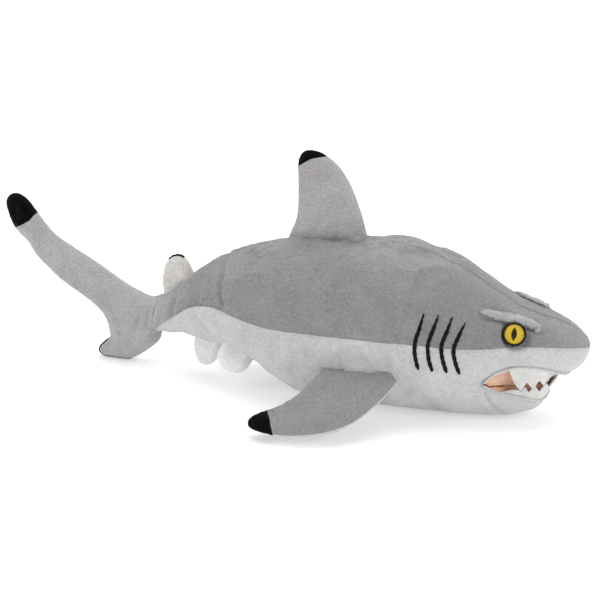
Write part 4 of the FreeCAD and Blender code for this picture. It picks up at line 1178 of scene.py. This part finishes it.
        # outward direction from the height field
        e = self.to3d(self.P2, sgn * (self.h + 1.0)) - V0
        e /= np.linalg.norm(e, axis=1, keepdims=True)
        V = V0 + self.delta[sgn]
        soft = smooth(0.3, 3.5, self.d_sewn)
        puck = -self.pinch * (0.5 + 0.5 * np.sin(2 * pi * self.along / 7.0 + 2.2 * vnoise(V0, 10, self.seed + 2))) * np.exp(-((self.d_sewn - 2.4) / 2.4) ** 2)
        d = (self.lump * vnoise(V0, 17, self.seed) + 0.5 * self.lump * vnoise(V0, 8, self.seed + 1)) * soft + puck * smooth(0, 1.2, self.d_sewn)
        d = d + pile_relief(V0, self.tuft) * smooth(0.1, 1.6, self.d_sewn)
        V = V + e * d[:, None]
        # the points on the seam itself are returned as a mask
        w = self.on_edge & (self.d_sewn < 0.01)
        return V, w

    def sides(self, sgn, keep=None):
        V, _ = self.points(sgn)
        F = self.F if keep is None else self.F[keep]
        return V, (F if sgn > 0 else F[:, ::-1])


def fin_piece(name, parts, mat):
    V, F, base = [], [], 0
    for v, f in parts:
        V.append(v)
        F.append(np.asarray(f) + base)
        base += len(v)
    return tidy(mesh(name, np.concatenate(V), np.concatenate(F), mat))


def table_field(keys, vals, axis):
    f = pchip(keys, vals)
    return lambda P: f(P[:, axis])


def rounded_root(fn, axis_fn, lo, hi):
    return lambda P: fn(P) * 1.0


# ---- dorsal fin
D_OUT = spline([(2.6, 112), (4.6, 118), (7.8, 126), (11.4, 134), (13.2, 144), (13.5, 156), (13.4, 168), (13.2, 177), (14.2, 184), (18.0, 189), (24, 190.3), (31, 189.2), (38.0, 185.6), (45.0, 180.3), (51.0, 173.0),
                (56.5, 164.0), (61.2, 153), (65.5, 141), (68.6, 130), (71.2, 121), (72.5, 114)], 6)
D_POLY = np.r_[D_OUT, [(60, 110.5), (38, 109), (17, 108.8)]]
d_t = pchip([100, 112, 120, 130, 141, 154, 166, 177, 185, 191], [5.6, 5.8, 6.6, 9.2, 10.0, 9.0, 7.6, 6.2, 4.9, 4.0])
dorsal = Pillow("dorsal", D_POLY, D_OUT, lambda P, h: np.stack([P[:, 0], -h, P[:, 1]], 1), lambda P: d_t(P[:, 1]), lambda P: 6.5 + 8.5 * smooth(190, 150, P[:, 1]),
                cuts=[[(5, 176.6), (14.5, 177.4), (20, 181.0), (25.5, 184.0), (31.5, 185.6), (37.0, 186.6), (50, 188)]], seed=101, lump=0.7, swell=1.6, step=1.3)
CUT_D = np.array([(-20, 176.0), (5, 176.6), (14.5, 177.4), (20, 181.0), (25.5, 184.0), (31.5, 185.6), (37.0, 186.6), (50, 188), (90, 190)])
tipD = dorsal.cen[:, 1] > np.interp(dorsal.cen[:, 0], CUT_D[:, 0], CUT_D[:, 1])
dorsal_right = fin_piece("dorsal_cover_right", [dorsal.sides(1, ~tipD)], GREY_PAINTED_LIT)
dorsal_left = fin_piece("dorsal_cover_left", [dorsal.sides(-1, ~tipD)], GREY_PAINTED_LIT)
dorsal_tip = fin_piece("dorsal_tip_cover", [dorsal.sides(1, tipD), dorsal.sides(-1, tipD)], BLACK)

# ---- second dorsal fin
S_O = np.array([-104.0, 0, 62.0])
S_A = math.atan2(15.5, 24.0)
S1, S2 = np.array([math.cos(S_A), 0, math.sin(S_A)]), np.array([-math.sin(S_A), 0, math.cos(S_A)])
S_OUT = spline([(-1.5, -5), (0.2, 0), (3.6, 7), (8.0, 13.2), (12.4, 18.0), (17.6, 21.0), (23.5, 22.0), (29.0, 20.6), (32.6, 17.0), (33.8, 12.5), (33.4, 7), (32.8, 0), (33.0, -5)], 6)
second = Pillow("second", np.r_[S_OUT, [(17, -7)]], S_OUT, lambda P, h: S_O + P[:, :1] * S1 + P[:, 1:] * S2 + np.stack([0 * h, -h, 0 * h], 1), lambda P: 5.6 - 1.6 * smooth(4, 20, P[:, 1]),
                lambda P: 6.5 + 0 * P[:, 0], seed=131, lump=0.45, swell=0.8, step=1.1, coarse=3.2)
second_right = fin_piece("second_dorsal_cover_right", [second.sides(1)], CREAM)
second_left = fin_piece("second_dorsal_cover_left", [second.sides(-1)], CREAM)
# overcast black stitches along its top edge
V, F = [], []
ln = resample(spline([(20.0, 21.8), (24.5, 22.2), (29.6, 20.6), (32.8, 17.0)], 8), step=0.45)
for k, (a, b) in enumerate(ln):
    t = ln[min(k + 1, len(ln) - 1)] - ln[max(k - 1, 0)]
    t /= np.linalg.norm(t)
    nn = np.array([-t[1], t[0]])
    hgt = 0.55 + 0.45 * abs(math.sin(k * 1.9)) + 0.35 * math.sin(k * 0.7 + 1)
    for q in range(8):
        w = 2 * pi * q / 8
        off = nn * (math.cos(w) * (0.75 + 0.5 * hgt * (math.cos(w) > 0)))
        V.append(S_O + (a + off[0]) * S1 + (b + off[1] - 0.3) * S2 + np.array([0, 1.0, 0]) * math.sin(w) * (1.25 + 0.2 * math.sin(k * 2.3)))
F = grid_faces(len(ln), 8, wrap=True).tolist() + [list(range(8))[::-1], [(len(ln) - 1) * 8 + q for q in range(8)]]
second_edge = tidy(mesh("second_dorsal_edge_satin", V, F, THREAD))

# ---- tail fin: the end of the tail runs into both lobes
C_TOP = [(X0, 0), (-112, 0)]
c_upper = [(-108.0, float(TOP(-108.0))), (-113.0, 57.6), (-119.5, 57.6), (-128, 60.8), (-136, 64.6), (-144.5, 69.2), (-157, 76.6), (-171.5, 84.8), (-186, 92.2), (-199.5, 99.4), (-206.5, 104.6), (-212.5, 111.0),
           (-218.0, 117.6), (-223.5, 124.0), (-229.0, 130.2), (-235.5, 134.0), (-241.5, 134.2), (-246.3, 130.6), (-248.2, 124.6), (-246.6, 117.0), (-243.8, 109.6), (-240.0, 103.4), (-234.5, 98.0), (-228.5, 93.0),
           (-220.5, 85.0), (-210.5, 76.0), (-200.5, 67.6), (-187.5, 59.6), (-175.0, 52.6), (-166, 46.8), (-159.0, 40.6), (-155.2, 34.0), (-153.6, 26.6), (-154.6, 19.6), (-158.6, 14.4), (-163.4, 9.8),
           (-165.2, 5.4), (-161.8, 1.6), (-154.5, 0.7), (-146.0, 0.6), (-138.0, 1.0), (-131.5, 3.6), (-124.5, 8.0), (-117.0, 13.6), (-111.6, 18.6), (-108.0, 24.0)]
c_upper = [(x - 0.4, z - 0.6) if 3 < i < 18 else (x - 1.4, z - 1.8) if 23 < i < 33 else (x, z) for i, (x, z) in enumerate(c_upper)]
C_OUT = spline(c_upper, 6)
C_POLY = np.r_[C_OUT, [(-108.0, 27.0)]]
# where the seam's rounding starts from: the outline is closed far ahead, so that the tail's own round section carries on
C_SEWN = np.r_[[(-60, float(TOP(-108.0)) + 6), (-100, float(TOP(-108.0)) + 0.6)], C_OUT, [(-104, 27.0), (-100, 28.3), (-60, 28.3)]]


def c_thick(P):
    x, z = P[:, 0], P[:, 1]
    body = HW(np.clip(x, -134, -104)) * 1.0
    s = (x + 128) * -0.81 + (z - 38) * 0.59
    up = np.interp(s, [-20, 0, 15, 31, 46, 63, 80, 96, 112, 127, 138, 150], [13.5, 12.0, 11.0, 10.0, 9.3, 8.9, 8.5, 8.1, 7.6, 7.0, 6.4, 5.6])
    dn = np.interp(z, [0, 6, 12, 20, 28, 38], [6.4, 7.8, 8.8, 9.8, 10.4, 11.2])
    low = smooth(36, 24, z) * smooth(-112, -120, x)
    fin = up * (1 - low) + dn * low
    k = smooth(-110.0, -134.0, x)
    return body * (1 - k) + fin * k


def c_radius(P):
    x, z = P[:, 0], P[:, 1]
    k = smooth(-110.0, -132.0, x)
    ends = 10.5 - 3.5 * smooth(112, 128, z)
    return 15.6 * (1 - k) + ends * k


CUT_C = [(-216.0, 123.0), (-219.2, 119.4), (-223.0, 113.6), (-227.8, 110.4), (-233.4, 107.6), (-240.0, 104.4), (-247, 101)]
caudal = Pillow("caudal", C_POLY, C_SEWN, lambda P, h: np.stack([P[:, 0], -h, P[:, 1]], 1), c_thick, c_radius, cuts=[CUT_C], seed=151, lump=0.75, swell=1.6, step=1.35)
cc = caudal.cen
cl = np.array(CUT_C)[::-1]
# beyond the cut line towards the tip
tipC = (cc[:, 0] < -212) & (cc[:, 1] > np.interp(cc[:, 0], np.r_[[-270], cl[:, 0]], np.r_[[92], cl[:, 1]]))


def fold(V, sgn):
    """Gathered folds where the tail bends up into the fin."""
    x, z = V[:, 0], V[:, 2]
    d = np.zeros(len(V))
    for x0, lean, depth, width, zlo, zhi, sd in ((-113.5, 0.30, 2.2, 2.6, 30, 56, 1), (-121.5, 0.42, 1.5, 2.6, 26, 50, 2), (-130.5, 0.55, 0.9, 3.2, 24, 46, 3)):
        t = (x - (x0 + lean * (z - 44) + 1.0 * vnoise(np.stack([z, 0 * z, 0 * z], 1), 12, 200 + sd))) / width
        d += depth * (-np.exp(-t * t) + 0.4 * np.exp(-((t - 2) / 1.2) ** 2) + 0.4 * np.exp(-((t + 2) / 1.2) ** 2)) * smooth(zlo, zlo + 8, z) * smooth(zhi + 8, zhi, z)
    V = V.copy()
    V[:, 1] += -sgn * d * smooth(0, 6, np.abs(V[:, 1])) * smooth(-108.2, -110.5, x)
    return V


# the open front edge meets the tail's covers exactly
ringR = G[0]  # x = X0


def meet_ring(V, sgn):
    on = np.abs(V[:, 0] - X0) < 0.02
    k = smooth(-112.5, -108.0, V[:, 0])
    zz, yy = ringR[:, 2], ringR[:, 1]
    half = (yy <= 0.01) if sgn > 0 else (yy >= -0.01)
    o = np.argsort(zz[half])
    zt, yt = zz[half][o], yy[half][o]
    want = np.interp(V[:, 2], zt, yt)
    V = V.copy()
    V[:, 1] = V[:, 1] * (1 - k) + want * k
    return V


cR, fR = caudal.sides(1)
cL, fL = caudal.sides(-1)
cR, cL = meet_ring(fold(cR, 1), 1), meet_ring(fold(cL, -1), -1)
for Vc in (cR, cL):
    Vc[:, 2] = np.maximum(Vc[:, 2], 0.35)
caudal_right = fin_piece("caudal_cover_right", [(cR, caudal.F[~tipC])], GREY_PAINTED_LIT)
caudal_left = fin_piece("caudal_cover_left", [(cL, caudal.F[~tipC][:, ::-1])], GREY_PAINTED_LIT)
caudal_tip = fin_piece("caudal_tip_cover", [(cR, caudal.F[tipC]), (cL, caudal.F[tipC][:, ::-1])], BLACK)
# black trim bound round the lower lobe's edge
V, F = [], []
ln = resample(spline([(-155.5, 17.6), (-160.0, 13.2), (-164.6, 8.6), (-165.6, 4.6), (-161.6, 1.5), (-154.0, 1.1), (-145.0, 1.1), (-137.6, 1.5), (-133.2, 3.2)], 8), step=0.8)
for k, (a, b) in enumerate(ln):
    t = ln[min(k + 1, len(ln) - 1)] - ln[max(k - 1, 0)]
    t /= np.linalg.norm(t)
    nn = np.array([-t[1], t[0]])
    e = min(1.0, 0.25 + min(k, len(ln) - 1 - k) / 8.0)
    r1, r2 = 0.95 * e, 1.9 * e
    for q in range(12):
        w = 2 * pi * q / 12
        V.append((a + nn[0] * math.cos(w) * r1, math.sin(w) * r2, max(b + nn[1] * math.cos(w) * r1, 0.15)))
V = np.array(V)
V[:, 1] += 0.25 * vnoise(V, 2.5, 171)
F = grid_faces(len(ln), 12, wrap=True).tolist() + [list(range(12))[::-1], [(len(ln) - 1) * 12 + q for q in range(12)]]
caudal_trim = tidy(mesh("caudal_lower_trim_edge", V, F, BLACK))

# ---- pectoral fins
BETA = math.radians(21.8)
P_O = np.array([0, -58.6, 34.6])
P_U = np.array([0, -math.cos(BETA), -math.sin(BETA)])
P_N = np.array([0, -math.sin(BETA), math.cos(BETA)])
p_pts = [(56.6, -9), (56.2, -2), (53.6, 6), (51.8, 14), (49.8, 22), (46.8, 31), (42.2, 40), (36.2, 47.6), (28.6, 54.2), (22.6, 60.2), (20.0, 65.2), (21.4, 69.6), (26.8, 72.4), (35.5, 74.2), (46.0, 74.4), (57.0, 73.0),
         (67.5, 70.0), (77.8, 65.4), (86.4, 59.3), (93.4, 52.0), (98.9, 43.6), (103.9, 33.2), (108.4, 21.6), (112.0, 9.6), (114.0, -1), (114.4, -9)]
PE_OUT = spline(p_pts, 6)
PE_POLY = np.r_[PE_OUT, [(90, -11)]]
CUT_P = [(29.4, 38.0), (29.6, 44.0), (30.2, 49.4), (33.4, 58.6), (38.6, 66.8), (41.6, 73.0), (43.5, 80)]


def p_thick(P):
    return np.interp(P[:, 1], [-10, 0, 10, 22, 33, 44, 53, 60, 66, 71, 76], [9.4, 10.0, 10.6, 10.6, 10.1, 9.3, 8.4, 7.6, 6.8, 6.0, 5.2])


pect = {}
for side, nm in ((-1, "right"), (1, "left")):
    def to3d(P, h, side=side):
        h = np.where(h > 0, h * (0.72 + 0.36 * smooth(0, 32, P[:, 1])), h * 0.66)     # fuller above than below the seam
        V = P_O + P[:, 1:2] * P_U + h[:, None] * P_N
        V[:, 0] += P[:, 0]
        V[:, 2] += 1.2 * smooth(45, 75, P[:, 1])
        if side > 0:
            V[:, 1] *= -1
        return V
    pl = Pillow("pectoral_" + nm, PE_POLY, PE_OUT, to3d, p_thick, lambda P: 8.5 + 4.5 * smooth(70, 40, P[:, 1]), cuts=[CUT_P], seed=181 if side < 0 else 191, lump=0.75, swell=1.6, step=1.35)
    c = pl.cen
    k = np.array(CUT_P)
    tip = c[:, 0] < np.interp(c[:, 1], np.r_[[-50], k[:, 1], [120]], np.r_[[-50], k[:, 0], [60]])
    tip &= c[:, 1] > 41
    vt, vb = pl.points(1)[0], pl.points(-1)[0]
    for v in (vt, vb):
        v[:, 2] = np.maximum(v[:, 2], 0.3)
    pect[nm] = (fin_piece("pectoral_%s_top_cover" % nm, [(vt, pl.F[~tip])], GREY), fin_piece("pectoral_%s_under_cover" % nm, [(vb, pl.F[~tip][:, ::-1])], WHITE),
                fin_piece("pectoral_%s_tip_cover" % nm, [(vt, pl.F[tip]), (vb, pl.F[tip][:, ::-1])], BLACK))

# ---- pelvic fins
def unit(*v):
    v = np.array(v, float)
    return v / np.linalg.norm(v)


q_s, Q_U = unit(0.9187, 0, -0.395), unit(-0.42, -0.45, -0.80)
Q_O, Q_E = np.array([-29.5, -26.0, 28.6]), unit(*(q_s - (q_s @ Q_U) * Q_U))
Q_N = np.cross(Q_U, Q_E)
if Q_N[1] > 0:
    Q_N = -Q_N
PV_OUT = spline([(13.2, -9), (13.1, -3), (13.1, 3), (12.7, 8.5), (10.9, 13.5), (7.7, 17), (3.4, 19.1), (-1, 19.6), (-5, 18.8), (-8.8, 16.4), (-11.4, 12.6), (-12.8, 8), (-13.1, 3), (-13.1, -3), (-13.2, -9)], 6)
PV_OUT = np.where(PV_OUT > 0, PV_OUT * [1.12, 0.84], PV_OUT * [1.0, 1.0])
pelv = {}
for side, nm in ((-1, "right"), (1, "left")):
    def to3d(P, h, side=side):
        V = Q_O + P[:, :1] * Q_E + P[:, 1:] * Q_U + h[:, None] * Q_N
        if side > 0:
            V[:, 1] *= -1
        return V
    pl = Pillow("pelvic_" + nm, np.r_[PV_OUT, [(0, -10)]], PV_OUT, to3d, lambda P: 5.6 - 1.4 * smooth(2, 18, P[:, 1]), lambda P: 7.0 + 0 * P[:, 0], seed=211 if side < 0 else 221, lump=0.6, swell=0.9, step=1.15, coarse=3.4)
    pelv[nm] = (fin_piece("pelvic_%s_outer_cover" % nm, [pl.sides(1)], WHITE_PAINTED_LIT), fin_piece("pelvic_%s_inner_cover" % nm, [pl.sides(-1)], WHITE_PAINTED_LIT))

# ---- anal fin, under the tail
a_s, A_U = unit(0.9887, 0, -0.1503), unit(-0.25, 0, -0.968)
A_O, A_E = np.array([-64.5, 0, 26.9]), unit(*(a_s - (a_s @ A_U) * A_U))
A_OUT = spline([(12.6, -8), (12.4, -3), (12.3, 4), (11.7, 10), (10.0, 15), (7.4, 19.4), (3.6, 22.6), (-0.6, 23.4), (-4.6, 22.2), (-7.6, 19.2), (-10, 15), (-11.7, 10), (-12.3, 4), (-12.4, -3), (-12.6, -8)], 6)
anal = Pillow("anal", np.r_[A_OUT, [(0, -9)]], A_OUT, lambda P, h: A_O + P[:, :1] * A_E + P[:, 1:] * A_U + np.stack([0 * h, -h, 0 * h], 1), lambda P: 5.2 - 1.4 * smooth(4, 22, P[:, 1]), lambda P: 6.5 + 0 * P[:, 0],
              seed=231, lump=0.6, swell=0.8, step=1.15, coarse=3.4)
anal_right = fin_piece("anal_fin_cover_right", [anal.sides(1)], WHITE_PAINTED_LIT)
anal_left = fin_piece("anal_fin_cover_left", [anal.sides(-1)], WHITE_PAINTED_LIT)

# ------------------------------------------------------------------ who stands for what, and which pieces ride on a body
def stand(nodes):
    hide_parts(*nodes)


m_ = MM
stand(["belly_panel", "tail_belly_panel", "torso_stuffing", "tail_stuffing"])
stand(["back_panel_right", "tail_panel_right"])
stand(["back_panel_left", "tail_panel_left"])
for o in (belly, back_right, back_left):
    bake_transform(o)
stand(["anal_fin_panel_right", "anal_fin_stuffing"])
stand(["anal_fin_panel_left"])
for o in (anal_right, anal_left):
    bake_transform(o)
stand(["caudal_panel_right", "caudal_stuffing"])
stand(["caudal_panel_left"])
for o in (caudal_right, caudal_left):
    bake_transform(o)
stand(["caudal_tip"])
stand(["caudal_lower_trim"])
for o in (caudal_tip, caudal_trim):
    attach(o, "caudal_fin")
stand(["dorsal_panel_right", "dorsal_stuffing"])
stand(["dorsal_panel_left"])
for o in (dorsal_right, dorsal_left):
    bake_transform(o)
stand(["dorsal_tip"])
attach(dorsal_tip, "dorsal_fin")
stand(["second_dorsal_panel_right", "second_dorsal_stuffing"])
stand(["second_dorsal_panel_left"])
for o in (second_right, second_left):
    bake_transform(o)
stand(["second_dorsal_edge_stitching"])
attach(second_edge, "second_dorsal_fin")
for side, nm in ((-1, "right"), (1, "left")):
    t, u_, tp = pect[nm]
    stand(["pectoral_%s_top" % nm, "pectoral_%s_stuffing" % nm])
    stand(["pectoral_%s_underside" % nm])
    stand(["pectoral_%s_tip" % nm])
    a, b = P_O + P_U * -3.5, P_O + P_U * 9.0
    a, b = a * m_, b * m_
    if side > 0:
        a[1] *= -1
        b[1] *= -1
    for o in (t, u_):
        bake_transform(o)
    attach(tp, "pectoral_" + nm)
    o1, o2 = pelv[nm]
    stand(["pelvic_%s_outer" % nm, "pelvic_%s_stuffing" % nm])
    stand(["pelvic_%s_inner" % nm])
    a, b = (Q_O + Q_U * -3.0) * m_, (Q_O + Q_U * 5.0) * m_
    if side > 0:
        a[1] *= -1
        b[1] *= -1
    for o in (o1, o2):
        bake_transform(o)
    stand(["gill_stitching_" + nm])
for nm in ("right", "left"):
    stand(["brow_fold_" + nm])
    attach(brow[nm], "torso")
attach(lining, "torso")
stand(["mouth_lining"])
stand(["upper_teeth"])
stand(["lower_teeth"])
for k, nm in enumerate(("right", "left")):
    stand(["eye_backing_" + nm])
    stand(["eye_lens_" + nm])
for n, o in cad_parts.items():
    if n.startswith("eye_washer"):
        o.data.materials.clear()
        o.data.materials.append(WASHER)

# ------------------------------------------------------------------ studio
def stage_plane():
    # floor that curves up into a backdrop far behind
    V, F = [], []
    prof = [(-2.6, 0.0), (1.6, 0.0)] + [(1.6 + 1.2 * math.sin(a), 1.2 - 1.2 * math.cos(a)) for a in np.linspace(0, pi / 2, 14)[1:]] + [(2.8, 3.5)]
    for y, z in prof:
        for x in (-4.5, 4.5):
            V.append((x, y, z))
    F = [[2 * k, 2 * k + 1, 2 * k + 3, 2 * k + 2] for k in range(len(prof) - 1)]
    me = bpy.data.meshes.new("studio_floor")
    me.from_pydata(V, [], F)
    me.polygons.foreach_set("use_smooth", [True] * len(me.polygons))
    o = bpy.data.objects.new("studio_floor", me)
    bpy.context.scene.collection.objects.link(o)
    m, nt, bs = nodes_of("studio_paper")
    bs.inputs["Base Color"].default_value = (0.85, 0.85, 0.85, 1)
    geo = nt.nodes.new("ShaderNodeNewGeometry")
    sep = nt.nodes.new("ShaderNodeSeparateXYZ")
    nt.links.new(geo.outputs["Position"], sep.inputs[0])
    glow = nt.nodes.new("ShaderNodeMapRange")
    glow.inputs["From Min"].default_value, glow.inputs["From Max"].default_value = 0.15, 0.9
    glow.inputs["To Min"].default_value, glow.inputs["To Max"].default_value = 0.3, 0.65
    nt.links.new(sep.outputs["Y"], glow.inputs["Value"])
    # painted shadow: the floor's glow is turned down a little in an oval around the shark, darkest right under it
    rad = math_node(nt, "SQRT", math_node(nt, "ADD", math_node(nt, "POWER", math_node(nt, "MULTIPLY", math_node(nt, "ABSOLUTE", sep.outputs["X"]), 0.62), 2.0), math_node(nt, "POWER", math_node(nt, "ABSOLUTE", sep.outputs["Y"]), 2.0)))
    painted_shadow_pool = nt.nodes.new("ShaderNodeMapRange")
    painted_shadow_pool.inputs["From Min"].default_value, painted_shadow_pool.inputs["From Max"].default_value = 0.07, 0.2
    painted_shadow_pool.inputs["To Min"].default_value, painted_shadow_pool.inputs["To Max"].default_value = 0.92, 1.0
    nt.links.new(rad, painted_shadow_pool.inputs["Value"])
    bs.inputs["Emission Color"].default_value = (1, 1, 1, 1)
    nt.links.new(math_node(nt, "MULTIPLY", glow.outputs[0], painted_shadow_pool.outputs[0]), bs.inputs["Emission Strength"])
    bs.inputs["Roughness"].default_value = 0.9
    bs.inputs["Specular IOR Level"].default_value = 0.1
    me.materials.append(m)


stage_plane()
sc = bpy.context.scene
w = bpy.data.worlds.new("studio")
sc.world = w
w.use_nodes = True
w.node_tree.nodes["Background"].inputs[0].default_value = (1, 1, 1, 1)
w.node_tree.nodes["Background"].inputs[1].default_value = 0.40
sc.view_settings.view_transform = "Standard"
sc.view_settings.look = "None"


def area(name, loc, size, power, target=(0.0, 0, 0.06)):
    l = bpy.data.lights.new(name, "AREA")
    l.shape, l.size, l.size_y, l.energy = "RECTANGLE", size[0], size[1], power
    o = bpy.data.objects.new(name, l)
    bpy.context.scene.collection.objects.link(o)
    o.location = loc
    o.rotation_euler = (Vector(target) - Vector(loc)).to_track_quat("-Z", "Y").to_euler()


area("key_top", (-0.1, 0.25, 1.5), (1.6, 1.2), 13)
area("soft_left", (-1.3, -0.9, 0.75), (1.2, 1.2), 10)
area("soft_right", (1.4, -0.6, 0.7), (1.2, 1.2), 10)
area("back_wash", (0.2, 1.4, 1.3), (2.0, 1.0), 5)

cam = bpy.data.cameras.new("camera")
cam.lens, cam.sensor_width = 92.6, 36.0
cam.clip_start, cam.clip_end = 0.05, 20
co = bpy.data.objects.new("camera", cam)
bpy.context.scene.collection.objects.link(co)
az, el, dist_ = math.radians(21), math.radians(17.5), 1.219
tgt = Vector((0.0145, 0, 0.069))
back = Vector((math.sin(az) * math.cos(el), -math.cos(az) * math.cos(el), math.sin(el)))
co.location = tgt + back * dist_
co.rotation_euler = (-back).to_track_quat("-Z", "Y").to_euler()
sc.camera = co
